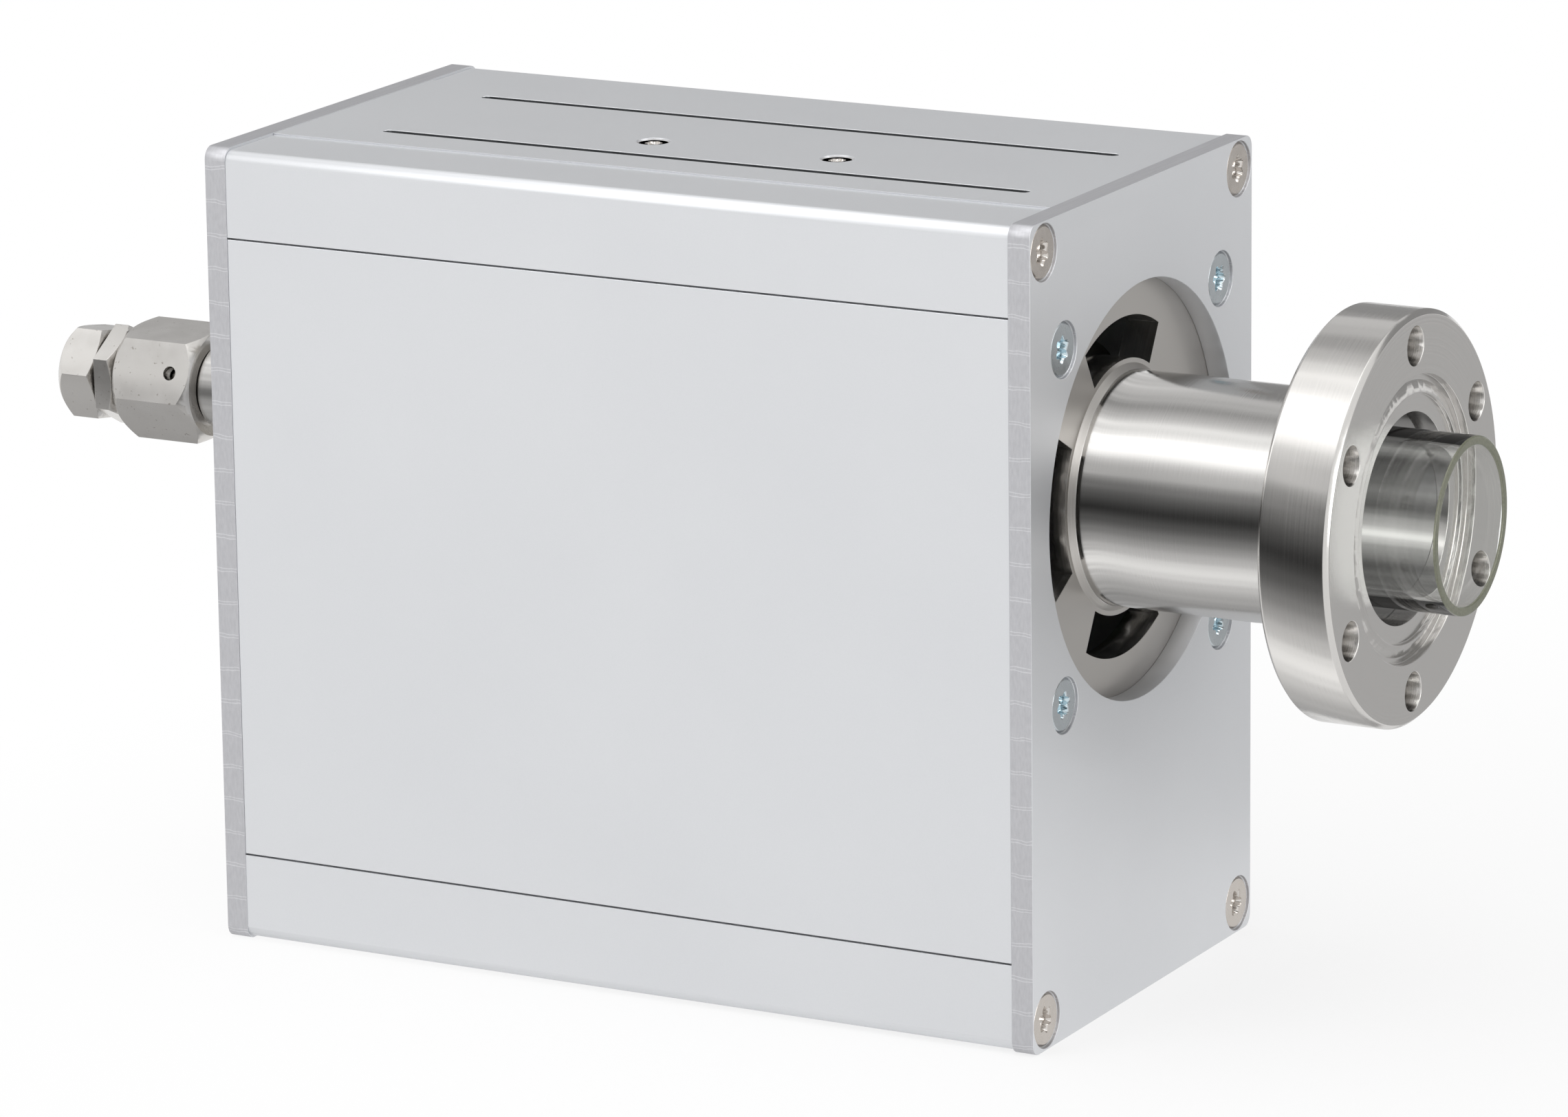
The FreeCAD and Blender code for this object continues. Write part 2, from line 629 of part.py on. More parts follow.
def make_shell(label, edge, way):
    """Top or bottom extrusion, with its screw ports, rounded edges and milled vents."""
    body = new_body(label)
    sketch = new_sketch(body, "YZ_Plane", (0, 0, GAS_IN))
    draw_polygon(sketch, mirrored_outline(shell_outline(edge, way)))
    solid_along(body, sketch, SHELL_LENGTH)
    strip = edge + (size("plate_proud") + size("step_depth")) * way
    round_long_edges(body, [(SHELL_HALF, strip), (-SHELL_HALF, strip)], "shell_corner")
    level = edge + size("corner_inset") * way
    across = HALF_WIDTH - size("corner_inset")
    ports = [(across, level), (-across, level)]
    holes_x(body, ports, SCREW_HOLE_R, GAS_IN, SHELL_LENGTH)
    cut_start = edge if way > 0 else edge - size("web_thick") * 2
    vents = new_sketch(body, "XY_Plane", (0, 0, cut_start))
    radius = size("slot_width") / 2
    front = PLATE_OUT - size("slot_setback") - radius
    back = front - size("slot_length") + radius * 2
    for side in (-1, 1):
        draw_slot(vents, back, front, size("slot_spacing") / 2 * side, radius)
    solid_along(body, vents, size("web_thick") * 2, cut=True)
    return body


def small_head_profile(face, way, hole):
    """Countersunk small screw, or its hole, as (radius, z) points."""
    if hole:
        depth = size("web_thick") + 1
        points = flat_head_hole("small_screw_head", "small_screw_d", depth, face, way)
    else:
        points = flat_head(
            "small_screw_head", "small_screw_d", "small_screw_length", face, way
        )
    return [(radius, level) for level, radius in points]


def top_screw_places():
    first = PLATE_OUT - size("top_screw_first")
    return [(first, -size("top_screw_side")),
            (first - size("top_screw_pitch"), -size("top_screw_side"))]


def bottom_screw_places():
    across = size("bottom_screw_spread") / 2
    along = (TRAY_FRONT - size("bottom_screw_front"), TRAY_BACK + size("bottom_screw_back"))
    return [(x, across * side) for x in along for side in (-1, 1)]


def make_housing():
    top = make_shell("top_shell", TOP, -1)
    for x, y in top_screw_places():
        profile = small_head_profile(TOP - size("plate_proud"), -1, hole=True)
        turn_about_z(top, profile, x, y, cut=True)
    bottom = make_shell("bottom_shell", BOTTOM, 1)
    for x, y in bottom_screw_places():
        profile = small_head_profile(BOTTOM + size("plate_proud"), 1, hole=True)
        turn_about_z(bottom, profile, x, y, cut=True)
    for label, side in (("front_panel", -1), ("rear_panel", 1)):
        make_panel(label, side)
    for label, places, edge, way in (
        ("top_screws", top_screw_places(), TOP, -1),
        ("bottom_screws", bottom_screw_places(), BOTTOM, 1),
    ):
        screws = new_body(label)
        for x, y in places:
            face = edge - size("plate_proud") * -way
            turn_about_z(screws, small_head_profile(face, way, hole=False), x, y)


def make_panel(label, side):
    """Side panel with a tongue above and below, held behind the shells' lips."""
    body = new_body(label)
    half_gap = size("seam_gap") / 2
    high = TOP - size("skirt_height") - half_gap
    low = BOTTOM + size("skirt_height") + half_gap
    reach = size("tongue_height") + size("seam_gap") - size("slide_gap")
    outer = SHELL_HALF
    step = SHELL_HALF - size("skirt_lip") - size("slide_gap")
    inner = SHELL_HALF - size("panel_thick")
    half = [
        (outer, low), (outer, high), (step, high), (step, high + reach),
        (inner, high + reach), (inner, low - reach), (step, low - reach), (step, low),
    ]
    prism_x(body, [(y * side, z) for y, z in half], GAS_IN, SHELL_LENGTH)


def make_end_plate(label, start):
    """Blank end plate with rounded corners."""
    body = new_body(label)
    outline = rectangle(-HALF_WIDTH, HALF_WIDTH, BOTTOM, TOP)
    prism_x(body, outline, start, "plate_thick")
    corners = [(HALF_WIDTH * side, level) for side in (-1, 1) for level in (TOP, BOTTOM)]
    round_long_edges(body, corners, "plate_corner")
    return body


def make_screws(label, places, face, way, length):
    """A set of countersunk plate screws along X."""
    body = new_body(label)
    for y, z in places:
        profile = flat_head("plate_screw_head", "plate_screw_d", length, face, way)
        turn_about_x(body, profile, y, z)


def cut_flat_head_holes(body, places, face, way, head="plate_screw_head", screw="plate_screw_d"):
    for y, z in places:
        profile = flat_head_hole(head, screw, size("plate_thick") + 1, face, way)
        turn_about_x(body, profile, y, z, cut=True)


def make_flange_end():
    plate = make_end_plate("flange_end_plate", PLATE_IN)
    holes_x(plate, [(0, 0)], size("opening_d") / 2, PLATE_IN, "plate_thick")
    support = square_places("support_screw_square")
    cut_flat_head_holes(plate, corner_places() + support, PLATE_OUT, -1)
    make_screws("flange_corner_screws", corner_places(), PLATE_OUT, -1, "plate_screw_length")
    make_screws("support_flange_screws", support, PLATE_OUT, -1, "support_screw_length")


# Vacuum parts


def make_support_flange():
    """Square flange behind the opening, with arc vents and the hub of the front seal."""
    body = new_body("support_flange")
    back = PLATE_IN - size("support_thick")
    hub_end = back - size("hub_length")
    half = size("support_side") / 2
    prism_x(body, rectangle(-half, half, -half, half), back, "support_thick")
    turn_about_x(body, [(hub_end, 0), (hub_end, HUB_R), (back, HUB_R), (back, 0)])
    socket_r = NIPPLE_OUT + size("nipple_gap")
    seat_r = QUARTZ_R + size("quartz_gap")
    shoulder = hub_end + size("gland_depth")
    lip = shoulder + size("nut_disc")
    bore = [
        (PLATE_IN, 0), (PLATE_IN, socket_r), (back, socket_r), (back, NIPPLE_IN),
        (lip, NIPPLE_IN), (lip, seat_r), (shoulder, seat_r), (shoulder, GLAND_R),
        (hub_end, GLAND_R), (hub_end, 0),
    ]
    turn_about_x(body, bore, cut=True)
    holes_x(body, square_places("support_screw_square"), SCREW_HOLE_R, back, "support_thick")
    near = socket_r + size("vent_web")
    far = near + size("vent_width")
    vent = [(back, near), (PLATE_IN, near), (PLATE_IN, far), (back, far)]
    polar(body, turn_about_x(body, vent, cut=True, angle="vent_angle"), 4)


def make_nipple():
    """Tube with a weld bead against the support flange and one against the vacuum flange."""
    body = new_body("nipple_tube")
    back = PLATE_IN - size("support_thick") + size("nipple_gap")
    front = -size("flange_thick") + size("nipple_socket") - size("nipple_gap")
    bead = size("weld_bead")
    near, far = PLATE_IN, -size("flange_thick")
    profile = [
        (back, NIPPLE_IN), (back, NIPPLE_OUT), (near, NIPPLE_OUT), (near, NIPPLE_OUT + bead),
        (near + bead, NIPPLE_OUT), (far - bead, NIPPLE_OUT), (far, NIPPLE_OUT + bead),
        (far, NIPPLE_OUT), (front, NIPPLE_OUT), (front, NIPPLE_IN),
    ]
    turn_about_x(body, profile)


def make_vacuum_flange():
    """Flange with a gasket recess, a raised knife edge and six bolt holes."""
    body = new_body("cf_flange")
    back = -size("flange_thick")
    outer = size("flange_d") / 2
    chamfer = size("flange_chamfer")
    socket_r = NIPPLE_OUT + size("nipple_gap")
    socket_end = back + size("nipple_socket")
    recess = size("gasket_d") / 2
    floor = -size("gasket_depth")
    knife = size("knife_d") / 2
    knife_top = floor + size("knife_drop")
    knife_run = size("knife_drop") / math.tan(math.radians(20))
    profile = [
        (back, socket_r), (back, outer - chamfer), (back + chamfer, outer),
        (-chamfer, outer), (0, outer - chamfer), (0, recess), (floor, recess),
        (floor, knife + knife_run), (knife_top, knife), (floor, knife),
        (floor, NIPPLE_IN), (socket_end, NIPPLE_IN), (socket_end, socket_r),
    ]
    turn_about_x(body, profile)
    pitch_r = size("flange_pcd") / 2
    hole = holes_x(body, [(0, pitch_r)], size("flange_hole_d") / 2, back, "flange_thick")
    polar(body, hole, 6)


def quartz_back():
    return GAS_IN + size("quartz_setback")


def make_quartz():
    body = new_body("quartz_tube")
    outer = QUARTZ_R
    inner = QUARTZ_R - size("quartz_wall")
    back = quartz_back()
    front = size("quartz_front")
    bevel = size("quartz_wall") / 5
    profile = [
        (back, inner), (back, outer - bevel), (back + bevel, outer),
        (front - bevel, outer), (front, outer - bevel), (front, inner + bevel),
        (front - bevel, inner),
    ]
    turn_about_x(body, profile)


def make_sealing_ring(label, shoulder, way):
    """Sealing ring squeezed to flats in its gland. way points out of the gland's floor."""
    body = new_body(label)
    cord_r = size("ring_cord") / 2
    centre_r = QUARTZ_R + size("ring_gap") + cord_r
    centre_x = shoulder + (cord_r + size("ring_gap")) * way
    flat = cord_r * math.tan(math.radians(22.5))
    corners = [
        (cord_r, flat), (flat, cord_r), (-flat, cord_r), (-cord_r, flat),
        (-cord_r, -flat), (-flat, -cord_r), (flat, -cord_r), (cord_r, -flat),
    ]
    turn_about_x(body, [(centre_x + a, centre_r + b) for a, b in corners])


def make_seal_nut(label, hub_end, way):
    """Nut over a hub: its nose presses the sealing ring. way points off the hub's end."""
    body = new_body(label)
    gap = size("turn_gap")
    seat_r = QUARTZ_R + size("quartz_gap")
    nose_r = QUARTZ_R + size("ring_cord")
    thread_r = HUB_R + gap
    outer = thread_r + size("nut_wall")
    nose_end = hub_end - (size("gland_depth") - size("ring_cord") - size("ring_gap") * 2) * way
    disc_in = hub_end + gap * way
    disc_out = disc_in + size("nut_disc") * way
    skirt_end = disc_in - size("nut_skirt") * way
    profile = [
        (nose_end, seat_r), (nose_end, nose_r), (disc_in, nose_r), (disc_in, thread_r),
        (skirt_end, thread_r), (skirt_end, outer), (disc_out, outer), (disc_out, seat_r),
    ]
    turn_about_x(body, profile)


def front_hub_end():
    return PLATE_IN - size("support_thick") - size("hub_length")


def rear_hub_end():
    """Mouth of the rear cap's hub: as deep round the quartz as the front one."""
    return quartz_back() + size("gland_depth") + size("nut_disc") * 2


def make_rear_cap():
    """Cap on the gas plate: socket for the quartz tube, and the gas stem through the plate."""
    body = new_body("rear_cap")
    flange_r = HUB_R + size("cap_rim")
    flange_top = GAS_IN + size("cap_flange_thick")
    hub_end = rear_hub_end()
    shoulder = hub_end - size("gland_depth")
    seat_r = QUARTZ_R + size("quartz_gap")
    floor = quartz_back() - size("quartz_gap")
    gas_r = size("gas_bore") / 2
    stem_r = size("stem_d") / 2
    stem_end = GAS_OUT - size("stem_length")
    head_start = GAS_OUT - size("stem_length") - size("union_lip") - size("turn_gap") * 3
    head_end = head_start - size("gland_head_length")
    neck_r = size("gland_neck") / 2
    head_r = size("union_bore") / 2 - size("gland_play")
    bevel = size("union_lip") / 4
    profile = [
        (head_end, gas_r), (head_end, head_r - bevel), (head_end + bevel, head_r),
        (head_start, head_r), (head_start, neck_r), (stem_end, neck_r),
        (stem_end, stem_r - bevel), (stem_end + bevel, stem_r), (GAS_IN, stem_r),
        (GAS_IN, flange_r), (flange_top, flange_r), (flange_top, HUB_R),
        (hub_end, HUB_R), (hub_end, GLAND_R), (shoulder, GLAND_R), (shoulder, seat_r),
        (floor, seat_r), (floor, gas_r),
    ]
    turn_about_x(body, profile)
    places = cap_screw_places()
    holes_x(body, places, SMALL_HOLE_R, GAS_IN, "cap_flange_thick")


def cap_screw_places():
    radius = size("cap_screw_pcd") / 2
    angles = [math.radians(30 + 120 * step) for step in range(3)]
    return [(radius * math.cos(angle), radius * math.sin(angle)) for angle in angles]


def make_cap_screws():
    body = new_body("rear_cap_screws")
    for y, z in cap_screw_places():
        profile = flat_head(
            "small_screw_head", "small_screw_d", "cap_screw_length", GAS_OUT, 1
        )
        turn_about_x(body, profile, y, z)


# Gas inlet


UNION_START = GAS_OUT - size("stem_length") - size("turn_gap")
UNION_END = UNION_START - size("union_length")
GLAND_FACE = (GAS_OUT - size("stem_length") - size("union_lip") - size("turn_gap") * 3
              - size("gland_head_length"))
BODY_FACE = GLAND_FACE - size("gasket_ring_thick")
HEX_START = UNION_END - size("turn_gap") * 10
HEX_END = HEX_START - size("body_hex_length")
TUBE_NUT_START = HEX_END - size("tube_nut_gap")
TUBE_NUT_END = TUBE_NUT_START - size("tube_nut_length")
TUBE_NUT_FLOOR = TUBE_NUT_END + size("tube_nut_floor")
THREAD_END = TUBE_NUT_FLOOR + size("ferrule_length")
TUBE_THREAD_R = size("tube_thread_d") / 2
TUBE_BORE_R = (size("gas_tube_d") + size("gas_tube_gap")) / 2


def chamfer_hex(body, flats, end, way, run):
    """Take a cone off the corners of a hexagon's end. way points from the end into it."""
    corner = size(flats) / math.sqrt(3)
    reach = corner * 1.2
    flat = size(flats) / 2 * 0.97
    slope = (reach - flat) / (corner - flat)
    profile = [(end, flat), (end, reach), (size(end) + size(run) * slope * way, reach)]
    turn_about_x(body, profile, cut=True)


def make_union_nut():
    body = new_body("union_nut")
    prism_x(body, hexagon("union_flats", 9), UNION_END, "union_length")
    lip_r = size("gland_neck") / 2 + size("turn_gap")
    chamber_r = size("union_bore") / 2
    lip_end = UNION_START - size("union_lip")
    bore = [
        (UNION_START, 0), (UNION_START, lip_r), (lip_end, lip_r), (lip_end, chamber_r),
        (UNION_END, chamber_r), (UNION_END, 0),
    ]
    turn_about_x(body, bore, cut=True)
    chamfer_hex(body, "union_flats", UNION_START, -1, "union_chamfer")
    chamfer_hex(body, "union_flats", UNION_END, 1, "union_chamfer")
    weep = new_sketch(body, "XY_Plane", turn=69)
    weep_x = UNION_START - size("weep_setback")
    draw_circle(weep, weep_x, 0, size("weep_d") / 2)
    solid_along(body, weep, size("union_flats"), cut=True)


def make_union_body():
    """Male union body: nose in the union nut, hexagon, and the thread under the tube nut."""
    body = new_body("union_body")
    nose_r = size("union_bore") / 2 - size("turn_gap")
    neck_r = size("body_neck") / 2
    gas_r = size("gas_bore") / 2
    mouth_r = TUBE_BORE_R + size("mouth_cone")
    prism_x(body, hexagon("body_flats", 32), HEX_END, "body_hex_length")
    chamfer_hex(body, "body_flats", HEX_START, -1, size("turn_gap") * 8)
    profile = [
        (THREAD_END, 0), (THREAD_END, TUBE_THREAD_R), (HEX_END, TUBE_THREAD_R),
        (HEX_END, neck_r), (UNION_END, neck_r), (UNION_END, nose_r), (BODY_FACE, nose_r),
        (BODY_FACE, 0),
    ]
    turn_about_x(body, profile)
    cone_end = THREAD_END + size("mouth_cone")
    bore = [
        (THREAD_END, 0), (THREAD_END, mouth_r), (cone_end, TUBE_BORE_R),
        (HEX_START, TUBE_BORE_R), (HEX_START, gas_r), (BODY_FACE, gas_r), (BODY_FACE, 0),
    ]
    turn_about_x(body, bore, cut=True)


def make_tube_nut():
    body = new_body("tube_nut")
    prism_x(body, hexagon("tube_nut_flats", 52.5), TUBE_NUT_END, "tube_nut_length")
    thread_r = TUBE_THREAD_R + size("turn_gap")
    bore = [
        (TUBE_NUT_START, 0), (TUBE_NUT_START, thread_r), (TUBE_NUT_FLOOR, thread_r),
        (TUBE_NUT_FLOOR, TUBE_BORE_R), (TUBE_NUT_END, TUBE_BORE_R), (TUBE_NUT_END, 0),
    ]
    turn_about_x(body, bore, cut=True)
    chamfer_hex(body, "tube_nut_flats", TUBE_NUT_END, 1, "tube_nut_dome")
    chamfer_hex(body, "tube_nut_flats", TUBE_NUT_START, -1, size("tube_nut_dome") / 3)


def make_ferrules():
    """Front ferrule with its nose in the body's mouth, back ferrule on the nut's end wall."""
    body = new_body("ferrules")
    gap = size("turn_gap")
    start = TUBE_NUT_FLOOR + gap
    back_end = TUBE_NUT_FLOOR + size("ferrule_length") * 0.4
    back_r = TUBE_BORE_R + size("back_ferrule_wall")
    turn_about_x(body, [(start, TUBE_BORE_R), (start, back_r), (back_end, back_r),
                        (back_end, TUBE_BORE_R)])
    front_start = back_end + size("thread_gap")
    shoulder = THREAD_END - gap
    nose = shoulder + size("mouth_cone")
    profile = [
        (front_start, TUBE_BORE_R), (front_start, TUBE_THREAD_R), (shoulder, TUBE_THREAD_R),
        (shoulder, TUBE_BORE_R + size("mouth_cone")), (nose, TUBE_BORE_R),
    ]
    turn_about_x(body, profile)


def make_gas_inlet():
    gasket = new_body("union_gasket")
    inner = size("gas_bore") / 2 + size("turn_gap") * 2
    outer = size("union_bore") / 2 - size("gland_play") * 1.5
    turn_about_x(gasket, [(BODY_FACE, inner), (BODY_FACE, outer),
                          (GLAND_FACE, outer), (GLAND_FACE, inner)])
    make_union_nut()
    make_union_body()
    make_ferrules()
    make_tube_nut()


# Coil


def make_coil():
    """Flat turns of copper strip, joined by slanted stretches under the quartz tube."""
    body = new_body("rf_coil")
    inner = COIL_R - size("coil_sheet")
    half = size("coil_strip") / 2
    opened = math.radians(size("coil_open").number / 2)
    side = COIL_R * math.sin(opened) + size("coil_sheet") / 4
    low = -COIL_R * math.cos(opened)
    first = FRAME_BACK - size("rod_reach")
    turns = [first + COIL_PITCH * number for number in range(whole("coil_turns"))]
    sweep = 360 - size("coil_open")
    for x in turns:
        strip = [(x - half, inner), (x - half, COIL_R), (x + half, COIL_R), (x + half, inner)]
        turn_about_x(body, strip, angle=sweep)
    slants = new_sketch(body, "XY_Plane", (0, 0, low))
    for x, following in zip(turns, turns[1:]):
        slant = [(x - half, -side), (x + half, -side), (following + half, side),
                 (following - half, side)]
        draw_polygon(slants, slant)
    solid_along(body, slants, size("coil_sheet"))
    leads = new_sketch(body, "XY_Plane", (0, 0, coil_lead_end()))
    for x, way in ((turns[0], 1), (turns[-1], -1)):
        edges = (side * way, (side - size("coil_sheet")) * way)
        draw_polygon(leads, rectangle(x - half, x + half, edges[1], edges[0]))
    solid_along(body, leads, low + size("coil_sheet") - coil_lead_end())


def coil_lead_end():
    """Height of the leads' lower ends."""
    opened = math.radians(size("coil_open").number / 2)
    return -COIL_R * math.cos(opened) - size("coil_lead")


def make_saddles():
    """Insulating blocks under the chassis bracket that hold the first and last turn."""
    body = new_body("coil_saddles")
    half = size("saddle_span") / 2
    width = size("saddle_width")
    high = TOP_INSIDE - size("bracket_thick")
    last_turn = size("coil_turns") - 1
    radius = COIL_R + size("thread_gap")
    for turns in (size(0), last_turn):
        start = FRAME_BACK - size("rod_reach") + COIL_PITCH * turns - width / 2
        prism_x(body, rectangle(-half, half, "saddle_low", high), start, width)
        holes_x(body, [(0, 0)], radius, start, width)


def make_straps():
    """Copper strips from the coil's leads down to the stator rods."""
    height = TUNER_Z - size("stator_rod_low")
    low = height - size("strap_width") / 2
    for label, side, place in (
        ("tune_strap", 1, FRAME_BACK - size("rod_reach")),
        ("load_strap", -1, FRAME_BACK + size("frame_length") + size("rod_reach")),
    ):
        body = new_body(label)
        across = (TUNER_Y - size("stator_rod_side")) * side
        half = size("strap_width") / 2
        start = place - size("strap_thick") / 2
        outline = rectangle(across - half, across + half, low, coil_lead_end())
        prism_x(body, outline, start, "strap_thick")
        rod_hole = size("stator_rod_d") / 2 + size("thread_gap")
        holes_x(body, [(across, height)], rod_hole, start, "strap_thick")


# Tuner


def make_tray():
    """Sheet tray on the bottom shell, with windows over the vents and an upright motor wall."""
    body = new_body("tuner_tray")
    half = size("tray_width") / 2
    floor = rectangle(-half, half, BOTTOM_INSIDE, TRAY_TOP)
    prism_x(body, floor, TRAY_BACK, "tray_length")
    ear = size("tray_ear")
    ear_low = BOTTOM + size("boss_size") + size("tray_thick")
    high = TUNER_Z + size("frame_top")
    wall = [
        (-half, TRAY_TOP), (half, TRAY_TOP), (half, ear_low), (ear, ear_low),
        (ear, high), (-ear, high), (-ear, ear_low), (-half, ear_low),
    ]
    prism_x(body, wall, MOTOR_FACE, "tray_thick")
    centres = [(TUNER_Y * side, TUNER_Z) for side in (-1, 1)]
    pilot = size("motor_pilot_d") / 2 + size("thread_gap")
    holes_x(body, centres, pilot, MOTOR_FACE, "tray_thick")
    screw_hole = size("motor_screw_d") / 2 + size("thread_gap")
    holes_x(body, motor_screw_places(), screw_hole, MOTOR_FACE, "tray_thick")
    window_back = MOTOR_FACE + size("tray_thick") * 4
    window_front = TRAY_FRONT - size("tray_thick") * 4
    windows = new_sketch(body, "XY_Plane", (0, 0, BOTTOM_INSIDE))
    for side in (-1, 1):
        middle = size("slot_spacing") / 2 * side
        edge = size("tray_window") / 2
        draw_polygon(windows, rectangle(window_back, window_front, middle - edge, middle + edge))
    for x, y in bottom_screw_places():
        draw_circle(windows, x, y, SMALL_HOLE_R)
    solid_along(body, windows, "tray_thick", cut=True)


def motor_screw_places():
    places = []
    for side in (-1, 1):
        places += square_places("motor_hole_square", TUNER_Y * side, TUNER_Z)
    return places


def cut_square(side, corner, y, z):
    """A square with cut corners about (y, z)."""
    half = size(side) / 2
    short = half - size(corner)
    points = [
        (half, -short), (half, short), (short, half), (-short, half),
        (-half, short), (-half, -short), (-short, -half), (short, -half),
    ]
    return [(size(y) + a, size(z) + b) for a, b in points]


def make_motor(label, side):
    """Square motor with a pilot boss in the tray's wall, a bore and tapped holes."""
    body = new_body(label)
    y = TUNER_Y * side
    start = MOTOR_FACE - size("motor_length")
    prism_x(body, cut_square("motor_side", "motor_corner", y, TUNER_Z), start, "motor_length")
    face = MOTOR_FACE
    pilot_r = size("motor_pilot_d") / 2
    tip = face + size("tray_thick")
    turn_about_x(body, [(face, 0), (face, pilot_r), (tip, pilot_r), (tip, 0)], y, TUNER_Z)
    bore_r = size("motor_shaft_d") / 2 + size("shaft_gap")
    depth = size("motor_shaft_depth") + size("shaft_gap")
    length = depth + size("tray_thick")
    holes_x(body, [(y, TUNER_Z)], bore_r, face - depth, length)
    tapped = size("motor_screw_length")
    places = square_places("motor_hole_square", y, TUNER_Z)
    holes_x(body, places, size("motor_screw_d") / 2 + size("thread_gap"), face - tapped, tapped)


def make_motor_screws():
    body = new_body("motor_screws")
    face = MOTOR_FACE + size("tray_thick")
    head_end = face + size("motor_screw_d") / 2
    head_r = size("motor_screw_head") / 2
    shank_r = size("motor_screw_d") / 2
    end = face - size("motor_screw_length")
    profile = [
        (end, 0), (end, shank_r), (face, shank_r), (face, head_r), (head_end, head_r),
        (head_end, 0),
    ]
    for y, z in motor_screw_places():
        turn_about_x(body, profile, y, z)


def make_motor_shaft(label, side):
    body = new_body(label)
    start = MOTOR_FACE - size("motor_shaft_depth")
    end = COUPLER_MIDDLE - size("shaft_meet") / 2
    radius = size("motor_shaft_d") / 2
    profile = [(start, 0), (start, radius), (end, radius), (end, 0)]
    turn_about_x(body, profile, TUNER_Y * side, TUNER_Z)


def make_coupler(label, side):
    """Slit coupler between the motor's shaft and the capacitor's."""
    body = new_body(label)
    start = COUPLER_START
    end = start + size("coupler_length")
    outer = size("coupler_d") / 2
    small = size("motor_shaft_d") / 2 + size("thread_gap")
    large = size("rotor_shaft_d") / 2 + size("thread_gap")
    slit = size("coupler_slit")
    slit_r = (outer + large) / 2
    profile = [(start, small), (start, outer)]
    for step in (-2, 2):
        near = COUPLER_MIDDLE + slit * step - slit / 2
        profile += [(near, outer), (near, slit_r), (near + slit, slit_r), (near + slit, outer)]
    profile += [(end, outer), (end, large), (COUPLER_MIDDLE, large), (COUPLER_MIDDLE, small)]
    turn_about_x(body, profile, TUNER_Y * side, TUNER_Z)


def plate_starts(count):
    """Back faces of a stack of capacitor plates centred in the frame."""
    first = FRAME_MIDDLE - size("plate_pitch") * (count - 1) / 2 - size("plate_sheet") / 2
    return [first + size("plate_pitch") * number for number in range(count)]


def make_capacitor_frame(label, side):
    """Folded frame: a floor and two end walls with holes for the shaft and the rods."""
    body = new_body(label)
    y = TUNER_Y * side
    half = size("frame_width") / 2
    low = TUNER_Z - size("frame_low")
    high = TUNER_Z + size("frame_top")
    wall = size("frame_wall")
    length = size("frame_length")
    prism_x(body, rectangle(y - half, y + half, low, high), FRAME_BACK, length)
    inside = rectangle(y - half - wall, y + half + wall, low + wall, high + wall)
    prism_x(body, inside, FRAME_BACK + wall, length - wall * 2, cut=True)
    shaft_hole = size("rotor_shaft_d") / 2 + size("shaft_gap")
    holes_x(body, [(y, TUNER_Z)], shaft_hole, FRAME_BACK, length)
    rod_hole = size("stator_rod_d") / 2 + size("thread_gap")
    holes_x(body, rod_places(y), rod_hole, FRAME_BACK, length)


def rod_places(y):
    height = TUNER_Z - size("stator_rod_low")
    return [(size(y) + size("stator_rod_side") * way, height) for way in (-1, 1)]


def make_stator(label, side):
    """Fixed plates on two rods, all below the shaft."""
    body = new_body(label)
    y = TUNER_Y * side
    half = size("stator_half")
    outline = rectangle(y - half, y + half, TUNER_Z - size("stator_low"),
                        TUNER_Z - size("stator_top"))
    for start in plate_starts(whole("plate_count") + 1):
        prism_x(body, outline, start, "plate_sheet")
    reach = size("rod_reach") + size("strap_thick")
    start = FRAME_BACK - reach
    end = FRAME_BACK + size("frame_length") + reach
    radius = size("stator_rod_d") / 2
    for rod_y, rod_z in rod_places(y):
        profile = [(start, 0), (start, radius), (end, radius), (end, 0)]
        turn_about_x(body, profile, rod_y, rod_z)


def make_rotor(label, side):
    """Shaft with half-round plates that turn in between the stator's plates."""
    body = new_body(label)
    y = TUNER_Y * side
    shaft_r = size("rotor_shaft_d") / 2
    start = COUPLER_MIDDLE + size("shaft_meet") / 2
    end = FRAME_BACK + size("frame_length") + size("rod_reach")
    shaft = [(start, 0), (start, shaft_r), (end, shaft_r), (end, 0)]
    turn_about_x(body, shaft, y, TUNER_Z)
    for near in plate_starts(whole("plate_count")):
        far = near + size("plate_sheet")
        inner = -shaft_r / 2
        outer = -size("rotor_radius")
        plate = [(near, inner), (near, outer), (far, outer), (far, inner)]
        turn_about_x(body, plate, y, TUNER_Z, angle=180)


def make_posts():
    """Insulating posts between the tray and the capacitors."""
    body = new_body("capacitor_posts")
    along = (FRAME_BACK + size("post_inset"),
             FRAME_BACK + size("frame_length") - size("post_inset"))
    sketch = new_sketch(body, "XY_Plane", (0, 0, TRAY_TOP))
    for x in along:
        for side in (-1, 1):
            for way in (-1, 1):
                y = TUNER_Y * side + size("post_side") * way
                draw_circle(sketch, x, y, size("post_d") / 2)
    solid_along(body, sketch, TUNER_Z - size("frame_low") - TRAY_TOP)


def make_tuner():
    make_tray()
    make_posts()
    make_motor_screws()
    for name, side in (("tune", 1), ("load", -1)):
        make_capacitor_frame(f"{name}_frame", side)
        make_stator(f"{name}_stator", side)
        make_rotor(f"{name}_rotor", side)
        make_coupler(f"{name}_coupler", side)
        make_motor_shaft(f"{name}_motor_shaft", side)
        make_motor(f"{name}_motor", side)


# Chassis bracket and control board


